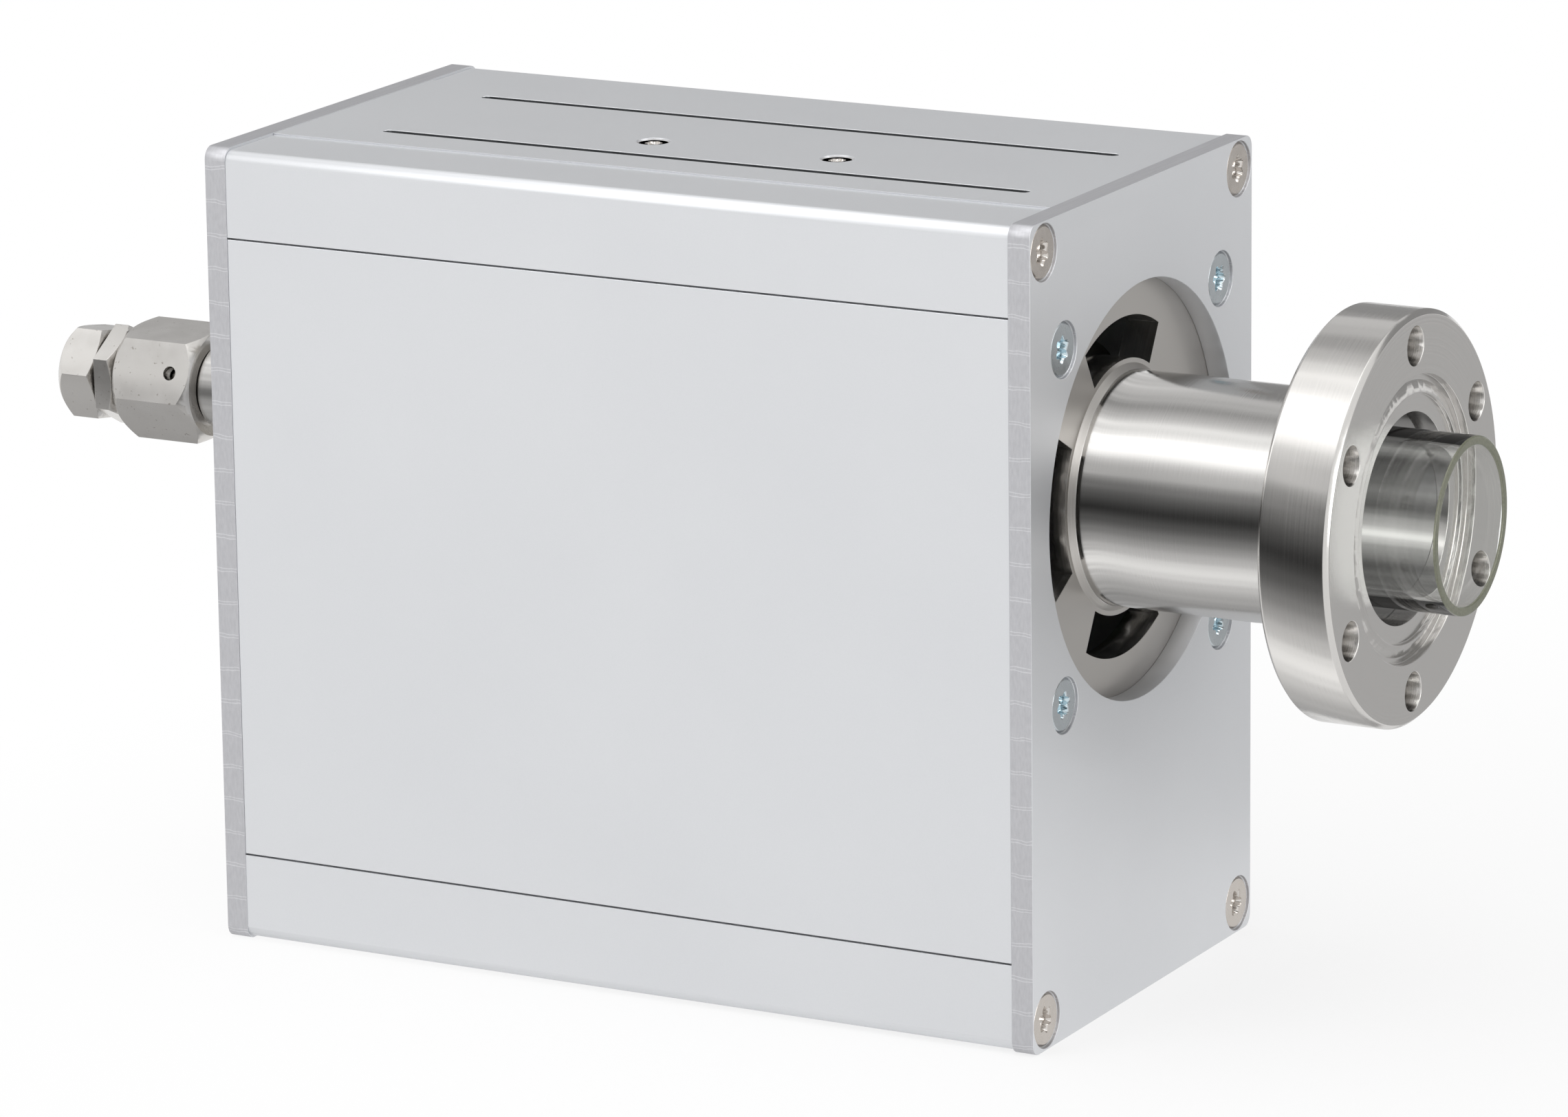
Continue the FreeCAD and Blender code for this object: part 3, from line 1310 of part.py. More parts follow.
def make_bracket():
    """Folded sheet under the top shell: a flange and a wall for the board."""
    body = new_body("chassis_bracket")
    near = -size("bracket_near")
    outer = size("bracket_wall")
    inner = outer - size("bracket_thick")
    under = TOP_INSIDE - size("bracket_thick")
    low = size("bracket_low")
    outline = [
        (near, under), (inner, under), (inner, low), (outer, low),
        (outer, TOP_INSIDE), (near, TOP_INSIDE),
    ]
    prism_x(body, outline, BRACKET_BACK, "bracket_length")
    holes = new_sketch(body, "XY_Plane", (0, 0, under))
    for x, y in top_screw_places():
        draw_circle(holes, x, y, SMALL_HOLE_R)
    solid_along(body, holes, "bracket_thick", cut=True)
    nuts = new_body("bracket_nuts")
    ring = new_sketch(nuts, "XY_Plane", (0, 0, under - size("bracket_thick")))
    for x, y in top_screw_places():
        draw_circle(ring, x, y, size("nut_plate_d") / 2)
        draw_circle(ring, x, y, SMALL_HOLE_R)
    solid_along(nuts, ring, "bracket_thick")


BOARD_BACK = size("bracket_wall") - size("bracket_thick") - size("spacer_length")
BOARD_START = BRACKET_BACK + size("spacer_inset")
BOARD_LOW = size("board_top") - size("board_height")


def board_corners():
    inset = size("spacer_inset")
    along = (BOARD_START + inset, BOARD_START + size("board_length") - inset)
    return [(x, z) for x in along for z in (BOARD_LOW + inset, size("board_top") - inset)]


def make_board():
    board = new_body("control_board")
    outline = rectangle(BOARD_START, BOARD_START + size("board_length"), BOARD_LOW, "board_top")
    sketch = new_sketch(board, "XZ_Plane", (0, 0, -BOARD_BACK))
    draw_polygon(sketch, outline)
    solid_along(board, sketch, "board_thick")
    spacers = new_body("board_spacers")
    sketch = new_sketch(spacers, "XZ_Plane", (0, 0, -(BOARD_BACK + size("spacer_length"))))
    for x, z in board_corners():
        draw_circle(sketch, x, z, size("spacer_d") / 2)
    solid_along(spacers, sketch, "spacer_length")
    parts = new_body("board_components")
    sketch = new_sketch(parts, "XZ_Plane", (0, 0, -(BOARD_BACK - size("board_thick"))))
    cell = size("board_length") / 9
    middle = BOARD_LOW + size("board_height") / 2
    for step, (wide, tall) in enumerate([(1.2, 1.4), (0.8, 0.8), (1.4, 1.4)]):
        left = BOARD_START + cell * (1.5 + 2.5 * step)
        half = cell * tall / 2
        draw_polygon(sketch, rectangle(left, left + cell * wide, middle - half, middle + half))
    solid_along(parts, sketch, size("board_thick") * 1.5)


# Gas plate, with its connectors and its fan


def jack_places():
    return square_places("jack_hole_square", "jack_across", "jack_up")


def post_places():
    half = size("port_post_pitch") / 2
    return [(size("port_across") + half * way, size("port_up")) for way in (-1, 1)]


def fan_places():
    return square_places("fan_hole_square", 0, FAN_Z)


def port_back_outline(gap):
    half_width = size("port_shell_width") / 2 + gap
    half_height = size("port_shell_height") / 2 + gap
    y, z = size("port_across"), size("port_up")
    return rectangle(y - half_width, y + half_width, z - half_height, z + half_height)


def make_gas_end():
    plate = make_end_plate("gas_end_plate", GAS_OUT)
    cut_flat_head_holes(plate, corner_places(), GAS_OUT, 1)
    cut_flat_head_holes(plate, cap_screw_places(), GAS_OUT, 1, "small_screw_head",
                        "small_screw_d")
    thick = size("plate_thick")
    gap = size("turn_gap")
    holes_x(plate, [(0, 0)], size("stem_d") / 2 + gap, GAS_OUT, thick)
    holes_x(plate, [(0, FAN_Z)], size("fan_bore") / 2, GAS_OUT, thick)
    holes_x(plate, fan_places() + jack_places() + post_places(), SMALL_HOLE_R, GAS_OUT, thick)
    jack = [("jack_across", "jack_up")]
    holes_x(plate, jack, size("jack_back_d") / 2 + gap, GAS_OUT, thick)
    prism_x(plate, port_back_outline(gap), GAS_OUT, thick, cut=True)
    make_screws("gas_corner_screws", corner_places(), GAS_OUT, 1, "plate_screw_length")


def make_jack():
    """Coaxial jack: flange, threaded barrel, insulator with its contact, and screws."""
    shell = new_body("rf_jack")
    y, z = size("jack_across"), size("jack_up")
    half = size("jack_side") / 2
    face = GAS_OUT - size("jack_flange_thick")
    outline = rectangle(y - half, y + half, z - half, z + half)
    prism_x(shell, outline, face, "jack_flange_thick")
    mouth = GAS_OUT - size("jack_length")
    back = GAS_OUT + size("plate_thick") + size("jack_back_length")
    barrel_r = size("jack_thread_d") / 2
    back_r = size("jack_back_d") / 2
    turn_about_x(shell, [(mouth, 0), (mouth, barrel_r), (face, barrel_r), (face, 0)], y, z)
    turn_about_x(shell, [(GAS_OUT, 0), (GAS_OUT, back_r), (back, back_r), (back, 0)], y, z)
    bore_r = size("jack_bore") / 2
    core_r = size("jack_back_d") / 3
    bore = [(mouth, 0), (mouth, bore_r), (face, bore_r), (face, core_r), (back, core_r), (back, 0)]
    turn_about_x(shell, bore, y, z, cut=True)
    holes_x(shell, jack_places(), SMALL_HOLE_R, face, "jack_flange_thick")
    core = new_body("rf_jack_core")
    pin_r = size("jack_pin_d") / 2
    fit = size("thread_gap")
    pin_end = mouth + size("jack_bore") / 4
    solder = back + size("jack_pin_d")
    profile = [
        (pin_end, 0), (pin_end, pin_r), (face, pin_r), (face, core_r - fit),
        (back, core_r - fit), (back, pin_r), (solder, pin_r), (solder, 0),
    ]
    turn_about_x(core, profile, y, z)
    screws = new_body("rf_jack_screws")
    for screw_y, screw_z in jack_places():
        turn_about_x(screws, round_head(face, "small_screw_length"), screw_y, screw_z)


def round_head(face, length):
    """A round-headed small screw that points along +X from a face."""
    head_r = size("fan_screw_head") / 2
    shank_r = size("small_screw_d") / 2
    top = size(face) - size("fan_screw_head_thick")
    end = size(face) + size(length)
    bevel = size("fan_screw_head_thick") / 3
    return [
        (top, 0), (top, head_r - bevel), (top + bevel, head_r), (face, head_r),
        (face, shank_r), (end, shank_r), (end, 0),
    ]


def make_port():
    """Control connector: a flange, a D-shaped shell and two jack posts."""
    body = new_body("control_connector")
    y, z = size("port_across"), size("port_up")
    wide = size("port_width") / 2
    tall = size("port_height") / 2
    face = GAS_OUT - size("port_thick")
    outline = rectangle(y - wide, y + wide, z - tall, z + tall)
    prism_x(body, outline, face, "port_thick")
    half_width = size("port_shell_width") / 2
    half_height = size("port_shell_height") / 2
    narrow = half_width - size("port_taper")
    shell = [
        (y - narrow, z - half_height), (y + narrow, z - half_height),
        (y + half_width, z + half_height), (y - half_width, z + half_height),
    ]
    prism_x(body, shell, face - size("port_shell_length"), "port_shell_length")
    prism_x(body, port_back_outline(size(0)), GAS_OUT, "port_back_length")
    holes_x(body, post_places(), SMALL_HOLE_R, face, "port_thick")
    posts = new_body("connector_posts")
    for post_y, post_z in post_places():
        start = face - size("port_post_length")
        prism_x(posts, hexagon("port_post_flats", 0), start, "port_post_length",
                y=post_y, z=post_z)
        end = GAS_IN
        radius = size("small_screw_d") / 2
        turn_about_x(posts, [(face, 0), (face, radius), (end, radius), (end, 0)], post_y, post_z)


def make_fan_frame():
    """Square frame with a round duct, and a bearing boss on three struts."""
    body = new_body("fan_frame")
    half = size("fan_side") / 2
    thick = size("fan_thick")
    prism_x(body, rectangle(-half, half, FAN_Z - half, FAN_Z + half), GAS_IN, thick)
    corners = [(half * a, FAN_Z + half * b) for a in (-1, 1) for b in (-1, 1)]
    round_long_edges(body, corners, "fan_corner")
    duct_r = size("fan_bore") / 2
    holes_x(body, [(0, FAN_Z)], duct_r, GAS_IN, thick)
    holes_x(body, fan_places(), SMALL_HOLE_R, GAS_IN, thick)
    wall = size("fan_wall")
    end = GAS_IN + thick
    disc_r = size("fan_hub_d") / 2
    boss_r = size("fan_boss_d") / 2
    bore_r = size("fan_pin_d") / 2 + size("shaft_gap")
    boss_start = GAS_IN + size("fan_gap") + wall * 2
    profile = [
        (boss_start, bore_r), (boss_start, boss_r), (end - wall, boss_r),
        (end - wall, disc_r), (end, disc_r), (end, bore_r),
    ]
    turn_about_x(body, profile, 0, FAN_Z)
    strut = size("fan_strut") / 2
    inner = boss_r
    outer = duct_r + strut / 2
    for angle in (90, 210, 330):
        cos = math.cos(math.radians(angle))
        sin = math.sin(math.radians(angle))
        outline = [
            (inner * cos - strut * sin, FAN_Z + inner * sin + strut * cos),
            (inner * cos + strut * sin, FAN_Z + inner * sin - strut * cos),
            (outer * cos + strut * sin, FAN_Z + outer * sin - strut * cos),
            (outer * cos - strut * sin, FAN_Z + outer * sin + strut * cos),
        ]
        prism_x(body, outline, end - wall, wall)


def blade_section(body, height, chord, pitch):
    """A blade's section at a height above the fan's axis, tilted by its pitch."""
    tilt = math.radians(size(pitch).number)
    along = size(chord) / 2
    across = size("fan_blade_sheet") / 2
    middle = GAS_IN + size("fan_thick") * 0.45
    sketch = new_sketch(body, "XY_Plane", (0, 0, FAN_Z + height))
    points = []
    for one, other in ((-1, -1), (1, -1), (1, 1), (-1, 1)):
        x = middle + along * (one * math.cos(tilt)) - across * (other * math.sin(tilt))
        y = along * (one * math.sin(tilt)) + across * (other * math.cos(tilt))
        points.append((x, y))
    draw_polygon(sketch, points)
    return sketch


def make_fan_rotor():
    """Hub cup on its shaft, with twisted blades lofted from root to tip."""
    body = new_body("fan_rotor")
    near = GAS_IN + size("fan_gap")
    wall = size("fan_wall")
    far = GAS_IN + size("fan_thick") - wall - size("fan_gap")
    hub_r = size("fan_hub_d") / 2
    pin_r = size("fan_pin_d") / 2
    pin_end = far + size("fan_gap")
    profile = [
        (near, 0), (near, hub_r), (far, hub_r), (far, hub_r - wall),
        (near + wall, hub_r - wall), (near + wall, pin_r), (pin_end, pin_r), (pin_end, 0),
    ]
    turn_about_x(body, profile, 0, FAN_Z)
    root = blade_section(body, hub_r - wall / 2, "fan_root_chord", "fan_root_pitch")
    tip = blade_section(body, size("fan_tip_d") / 2, "fan_tip_chord", "fan_tip_pitch")
    blade = body.newObject("PartDesign::AdditiveLoft", "fan_rotor_blade")
    blade.Profile = root
    blade.Sections = [tip]
    blade.Ruled = True
    hub_axis = new_sketch(body, "XZ_Plane", (0, FAN_Z, 0))
    draw_polygon(hub_axis, rectangle(near, far, 0, pin_r))
    pattern = body.newObject("PartDesign::PolarPattern", "fan_rotor_pattern")
    pattern.Originals = [blade]
    pattern.Axis = (hub_axis, ["H_Axis"])
    pattern.Angle = 360
    pattern.Occurrences = whole("fan_blades")
    body.Tip = pattern


def make_guard():
    """Sheet guard: rings on two crossed bars, with an ear for a screw at each end of a bar."""
    body = new_body("fan_guard")
    start = GAS_OUT - size("guard_sheet")
    half = size("guard_bar") / 2
    for number in range(whole("guard_rings")):
        outer = size("guard_outer") - size("guard_step") * number
        inner = outer - size("guard_bar")
        ring = new_sketch(body, "YZ_Plane", (0, FAN_Z, start))
        draw_circle(ring, 0, 0, outer)
        draw_circle(ring, 0, 0, inner)
        solid_along(body, ring, "guard_sheet")
    reach = size("fan_hole_square") / math.sqrt(2)
    slope = math.sqrt(0.5)
    for way in (-1, 1):
        bar = []
        for along, across in ((reach, half), (-reach, half), (-reach, -half), (reach, -half)):
            bar.append(((along - across) * slope, FAN_Z + (along + across) * slope * way))
        prism_x(body, bar, start, "guard_sheet")
    ears = new_sketch(body, "YZ_Plane", (0, 0, start))
    for y, z in fan_places():
        draw_circle(ears, y, z, "guard_ear")
    solid_along(body, ears, "guard_sheet")
    holes_x(body, fan_places(), SMALL_HOLE_R, start, "guard_sheet")


def make_fan():
    make_fan_frame()
    make_fan_rotor()
    make_guard()
    screws = new_body("fan_screws")
    for y, z in fan_places():
        profile = round_head(GAS_OUT - size("guard_sheet"), "fan_screw_length")
        turn_about_x(screws, profile, y, z)


make_housing()
make_flange_end()
make_gas_end()
make_support_flange()
make_nipple()
make_vacuum_flange()
make_quartz()
FRONT_SHOULDER = front_hub_end() + size("gland_depth")
REAR_SHOULDER = rear_hub_end() - size("gland_depth")
make_sealing_ring("front_sealing_ring", FRONT_SHOULDER, -1)
make_sealing_ring("rear_sealing_ring", REAR_SHOULDER, 1)
make_seal_nut("front_seal_nut", front_hub_end(), -1)
make_seal_nut("rear_seal_nut", rear_hub_end(), 1)
make_rear_cap()
make_cap_screws()
make_gas_inlet()
make_coil()
make_saddles()
make_straps()
make_tuner()
make_bracket()
make_board()
make_jack()
make_port()
make_fan()

document.recompute()

faults = []
for thing in document.Objects:
    if "Invalid" in thing.State or "Error" in thing.State:
        faults.append(f"{thing.Label} did not compute: {thing.State}")
for feature, before in checked_cuts:
    if not faults and feature.Shape.Volume > before.Shape.Volume - 0.01:
        faults.append(f"{feature.Label} cuts nothing")
for subpart in subparts:
    if subpart.Shape.isNull() or not subpart.Shape.isValid():
        faults.append(f"{subpart.Label} has no valid shape")
if faults:
    raise SystemExit("\n".join(faults))

os.makedirs("parts", exist_ok=True)
for subpart in subparts:
    subpart.Shape.exportStep(f"parts/{subpart.Label}.step")
print(f"{len(subparts)} sub-parts written")
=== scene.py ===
# %% [markdown]
# A remote plasma source: a satin aluminium box round a quartz discharge tube, with a
# stainless vacuum flange at one end and a gas fitting at the other. The metal pieces
# arrive as a fixed frame, already in place and in metres. This lesson gives them their
# finishes, rounds their edges, and adds the pieces whose charm is in their surface: screw
# heads with their recesses, clear quartz, a thread and a connector's contacts. The tube's
# axis is the X axis, +X points out of the flange, and +Z is up.

# %% Load the fixed frame
import math

import bmesh
import bpy
import numpy as np
from mathutils import Matrix, Vector


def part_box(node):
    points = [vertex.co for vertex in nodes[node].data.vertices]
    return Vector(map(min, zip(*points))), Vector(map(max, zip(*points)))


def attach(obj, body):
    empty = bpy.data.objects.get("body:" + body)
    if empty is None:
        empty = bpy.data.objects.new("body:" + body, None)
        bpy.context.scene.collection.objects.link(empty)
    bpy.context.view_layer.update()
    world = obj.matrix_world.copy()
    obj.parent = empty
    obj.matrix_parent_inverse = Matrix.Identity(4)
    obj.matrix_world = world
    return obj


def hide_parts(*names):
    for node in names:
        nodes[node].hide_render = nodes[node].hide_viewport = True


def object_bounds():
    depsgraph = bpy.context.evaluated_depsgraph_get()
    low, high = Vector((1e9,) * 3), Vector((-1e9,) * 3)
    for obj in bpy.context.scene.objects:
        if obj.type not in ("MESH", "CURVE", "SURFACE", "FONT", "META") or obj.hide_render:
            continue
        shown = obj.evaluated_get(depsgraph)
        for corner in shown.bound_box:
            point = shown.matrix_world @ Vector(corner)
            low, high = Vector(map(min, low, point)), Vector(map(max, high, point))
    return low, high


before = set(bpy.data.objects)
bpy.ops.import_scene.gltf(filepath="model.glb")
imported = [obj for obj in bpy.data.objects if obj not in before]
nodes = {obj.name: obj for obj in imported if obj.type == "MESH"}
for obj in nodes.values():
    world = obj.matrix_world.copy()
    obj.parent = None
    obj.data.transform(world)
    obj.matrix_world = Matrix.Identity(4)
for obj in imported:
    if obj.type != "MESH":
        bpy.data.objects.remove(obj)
bpy.context.scene.view_settings.view_transform = "Standard"
cad_box = [list(corner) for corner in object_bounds()]
print(len(nodes), "nodes, from", cad_box[0], "to", cad_box[1])

# %% [markdown]
# The camera comes first, so that every piece can be judged from where the picture was
# taken. It is a long lens: at 183 mm on a 36 mm sensor, lines that run away from us
# converge only a little. Its place and two of its directions are plain vectors, from
# which its matrix follows.

# %% Camera
CAMERA_PLACE = Vector((0.51410, -1.17231, 0.31962))
CAMERA_RIGHT = Vector((0.88155628, 0.4719213, -0.01219904))
CAMERA_LOOK = Vector((-0.46001496, 0.85293664, -0.24674951))
LENS_MM = 183.22
SENSOR_MM = 36.0
NEAREST, FARTHEST = 0.05, 30.0


def make_camera():
    """A pinhole at its place: the matrix columns are right, up and backwards."""
    data = bpy.data.cameras.new("camera")
    data.lens = LENS_MM
    data.sensor_width = SENSOR_MM
    data.sensor_fit = "HORIZONTAL"
    data.clip_start = NEAREST
    data.clip_end = FARTHEST
    camera = bpy.data.objects.new("camera", data)
    up = CAMERA_RIGHT.cross(CAMERA_LOOK)
    turned = Matrix((CAMERA_RIGHT, up, -CAMERA_LOOK)).transposed()
    camera.matrix_world = Matrix.Translation(CAMERA_PLACE) @ turned.to_4x4()
    bpy.context.scene.collection.objects.link(camera)
    bpy.context.scene.camera = camera
    return camera


camera = make_camera()
print("camera at", [round(x, 3) for x in camera.location], "lens", LENS_MM, "mm")

# %% [markdown]
# A material in Blender is a small graph of nodes. These helpers keep each graph to a few
# readable lines. Even values sit on the shader's own sockets, and only what varies over
# the surface is wired in. Every pattern reads Object coordinates, which are metres here, so
# that a scale of 1000 means one wave per millimetre.

# %% Helpers for materials
MIX_FIRST, MIX_SECOND, MIX_RESULT = 6, 7, 2


def start_material(name, colour, metallic=0.0, roughness=0.5, **sockets):
    """A material with one Principled shader, its even values set on the shader itself."""
    material = bpy.data.materials.new(name)
    material.use_nodes = True
    shader = material.node_tree.nodes["Principled BSDF"]
    shader.inputs["Base Color"].default_value = (*colour, 1)
    shader.inputs["Metallic"].default_value = metallic
    shader.inputs["Roughness"].default_value = roughness
    for socket, value in sockets.items():
        shader.inputs[socket.replace("_", " ")].default_value = value
    return material, shader


def add_node(shader, kind, *inputs, **settings):
    """A node of the shader's tree. Inputs are sockets or numbers, in order; None is skipped."""
    tree = shader.id_data
    made = tree.nodes.new("ShaderNode" + kind)
    for name, value in settings.items():
        setattr(made, name, value)
    for socket, value in zip(made.inputs, inputs):
        if isinstance(value, bpy.types.NodeSocket):
            tree.links.new(value, socket)
        elif value is not None:
            socket.default_value = value
    return made


def wire(node, socket, value):
    """Link a value to a socket of the shader, or of another node, by the socket's name."""
    node.id_data.links.new(value, node.inputs[socket])


def maths(shader, operation, *values):
    """A number that is worked out from one to three others."""
    return add_node(shader, "Math", *values, operation=operation).outputs[0]


def axis(shader, vector, number):
    """One part of a vector: 0 for its x, 1 for its y and 2 for its z."""
    return add_node(shader, "SeparateXYZ", vector).outputs[number]


def times(shader, vector, other):
    """Two vectors multiplied, axis by axis."""
    return add_node(shader, "VectorMath", vector, other, operation="MULTIPLY").outputs[0]


def length_of(shader, vector):
    """How long a vector is."""
    return add_node(shader, "VectorMath", vector, operation="LENGTH").outputs["Value"]


def object_place(shader, stretch=(1, 1, 1)):
    """Object coordinates, multiplied along each axis."""
    return times(shader, add_node(shader, "TexCoord").outputs["Object"], stretch)


def ring_place(shader, scale=1.0):
    """Coordinates that are equal all the way round the tube's axis: x and the distance from
    the axis, both times scale."""
    place = object_place(shader)
    radius = length_of(shader, times(shader, place, (0, 1, 1)))
    scaled_x = maths(shader, "MULTIPLY", axis(shader, place, 0), scale)
    scaled_r = maths(shader, "MULTIPLY", radius, scale)
    return add_node(shader, "CombineXYZ", scaled_x, scaled_r, 0.0).outputs[0]


def noise(shader, place, scale, detail):
    """Smooth noise around 0.5."""
    made = add_node(shader, "TexNoise", place)
    made.inputs["Scale"].default_value = scale
    made.inputs["Detail"].default_value = detail
    return made.outputs[0]


def span(shader, value, low, high, first=0.3, last=0.7):
    """The value's stretch from first to last, carried over to low to high."""
    return add_node(shader, "MapRange", value, first, last, low, high).outputs[0]


def blend(shader, factor, one, other):
    """A colour between one and other. The Mix node has sockets for numbers and vectors
    before those for colours, so the colours are found by their numbers."""
    made = add_node(shader, "Mix", factor, data_type="RGBA")
    for number, value in ((MIX_FIRST, one), (MIX_SECOND, other)):
        if isinstance(value, bpy.types.NodeSocket):
            shader.id_data.links.new(value, made.inputs[number])
        else:
            made.inputs[number].default_value = (*value, 1)
    return made.outputs[MIX_RESULT]


def bump(shader, height, depth, strength=1.0):
    """Relief: height from 0 to 1 is taken as depth metres."""
    relief = add_node(shader, "Bump", strength, depth)
    wire(relief, "Height", height)
    wire(shader, "Normal", relief.outputs[0])


def speckled(name, dark, light, metallic, roughness, scale, depth, detail=3, spread=0.2,
             strength=1.0):
    """A coat whose tone, shine and relief follow one noise. scale is its waves per metre,
    depth its relief in metres, and spread how far the roughness swings to either side."""
    material, shader = start_material(name, light, metallic, roughness)
    grain = noise(shader, object_place(shader), scale, detail)
    wire(shader, "Base Color", blend(shader, grain, dark, light))
    smoothest, roughest = roughness * (1 - spread), min(1.0, roughness * (1 + spread))
    wire(shader, "Roughness", span(shader, grain, smoothest, roughest))
    bump(shader, grain, depth, strength)
    return material


print("material helpers ready")

# %% [markdown]
# The studio is a pale floor and soft light. The background is white because the floor and
# the world say so to the camera and to mirrors, not because more light falls on the part.
# The floor's whiteness is a matter of distance: near the part a share of the real shadow
# stays, and further out it fades to plain white.

# %% Floor and world
FLOOR_SIDE = 6.0
FLOOR_WHITE = 0.86
SHADOW_SHARE = 0.24
SHADOW_NEAR, SHADOW_FAR = 0.1, 0.33
WORLD_LIGHT = 0.62


def flat_sheet(name, width, depth, height):
    """A mesh of one rectangle, centred on the Z axis and lying at height."""
    half_x, half_y = width / 2, depth / 2
    corners = [(-half_x, -half_y, height), (half_x, -half_y, height),
               (half_x, half_y, height), (-half_x, half_y, height)]
    sheet = bpy.data.meshes.new(name)
    sheet.from_pydata(corners, [], [(0, 1, 2, 3)])
    return sheet


def seen_directly(shader):
    """1 for what the camera, a mirror or glass looks at, 0 for the light that things get."""
    path = add_node(shader, "LightPath")
    seen = path.outputs["Is Camera Ray"]
    for name in ("Is Transmission Ray", "Is Glossy Ray"):
        seen = maths(shader, "MAXIMUM", seen, path.outputs[name])
    return seen


def show(shader, result):
    """Make a material show result, which may hold its shader or stand in for it."""
    wire(shader.id_data.nodes["Material Output"], "Surface", result)


def make_floor():
    """A wide square at the height of the part's lowest point. Near the part it keeps a share
    of its shadow; further out, what looks at it sees plain white."""
    sheet = flat_sheet("floor", FLOOR_SIDE, FLOOR_SIDE, cad_box[0][2])
    floor = bpy.data.objects.new("floor", sheet)
    bpy.context.scene.collection.objects.link(floor)
    material, shader = start_material("floor_white", (FLOOR_WHITE,) * 3, roughness=0.9)
    away = length_of(shader, object_place(shader))
    whiteness = span(shader, away, 1 - SHADOW_SHARE, 1.0, SHADOW_NEAR, SHADOW_FAR)
    share = maths(shader, "MULTIPLY", seen_directly(shader), whiteness)
    white = add_node(shader, "Emission", (1, 1, 1, 1), 1.0).outputs[0]
    show(shader, add_node(shader, "MixShader", share, shader.outputs[0], white).outputs[0])
    sheet.materials.append(material)


def make_world():
    """An even grey light, which the camera, mirrors and glass see as white."""
    world = bpy.data.worlds.new("studio")
    bpy.context.scene.world = world
    world.use_nodes = True
    background = world.node_tree.nodes["Background"]
    background.inputs["Color"].default_value = (1, 1, 1, 1)
    level = span(background, seen_directly(background), WORLD_LIGHT, 1.0, 0.0, 1.0)
    wire(background, "Strength", level)


make_floor()
make_world()
print("floor at z =", round(cad_box[0][2], 4))

# %% [markdown]
# Three soft lamps do the work: a wide one overhead, a key from the camera's left that
# lights the long side, and one that lights the flange end. Each is an area lamp, aimed by
# turning its -Z towards a target. The cards are plain planes that only mirrors see, so
# they shade nothing: one behind the part keeps its top from going white, and one on the
# floor beyond the flange does the same for the metal that faces that way. A lamp's row is
# its place, its size and its watts, and a card's row its place, its size, the direction
# that it looks in and its grey.

# %% Lamps and cards
PART_MIDDLE = Vector((-0.11, 0.0, -0.015))
LAMPS = {
    "overhead": ((-0.05, -0.15, 1.15), (1.4, 1.0), 6.2),
    "key": ((-0.75, -1.05, 0.75), (0.8, 0.8), 4.2),
    "flange_side": ((1.3, -0.1, 0.2), (0.7, 0.7), 4.6),
}
CARDS = {
    "back_card": ((-0.3, 1.3, 0.8), (3.4, 1.6), (0, 1, 0), 0.33),
    "floor_card": ((0.28, 0.42, -0.087), (0.6, 0.7), (0, 0, 1), 0.55),
}


def facing(place, direction):
    """A matrix that puts an object at place with its Z axis along direction."""
    turned = Vector(direction).to_track_quat("Z", "Y")
    return Matrix.Translation(place) @ turned.to_matrix().to_4x4()


def make_lamp(name, place, size, power):
    """A rectangular area lamp that looks at the part's middle."""
    data = bpy.data.lights.new(name, "AREA")
    data.shape = "RECTANGLE"
    data.size, data.size_y = size
    data.energy = power
    lamp = bpy.data.objects.new(name, data)
    lamp.matrix_world = facing(Vector(place), Vector(place) - PART_MIDDLE)
    bpy.context.scene.collection.objects.link(lamp)


def for_mirrors_only(card, material, shader, glow):
    """Hang a card in the stage so that reflections are all that sees it."""
    bpy.context.scene.collection.objects.link(card)
    show(shader, glow)
    card.data.materials.append(material)
    card.visible_camera = False
    card.visible_diffuse = False
    card.visible_shadow = False
    card.visible_transmission = False


def make_card(name, place, size, away, grey):
    """A flat card of one even grey."""
    sheet = flat_sheet(name, *size, 0.0)
    sheet.transform(facing(Vector(place), away))
    material, shader = start_material(name, (0, 0, 0), roughness=1.0)
    glow = add_node(shader, "Emission", (grey, grey, grey, 1), 1.0).outputs[0]
    for_mirrors_only(bpy.data.objects.new(name, sheet), material, shader, glow)


for name, (place, size, power) in LAMPS.items():
    make_lamp(name, place, size, power)
for name, (place, size, away, grey) in CARDS.items():
    make_card(name, place, size, away, grey)
print(len(LAMPS), "lamps and", len(CARDS), "cards")

# %% [markdown]
# Polished steel is only as good as what it mirrors. In an evenly white room a steel tube
# turns into a white stripe, so product photographers bend a card round it, with dark and
# bright bands along the tube. The flange's tent is a cup round the X axis and the gas
# fitting's is a plain band, both with a gap on their far side. A sleeve right round the
# quartz tube does the same for the bore of the nipple and the flange. Each is lit on the
# side that the steel faces and clear on its other side, so that hardly anything else
# mirrors it. A band is an angle in degrees and the light there. A tent's row is its profile
# of (x, radius), its bands, whether its inside is lit, and whether its foot closes as a
# cup's does.

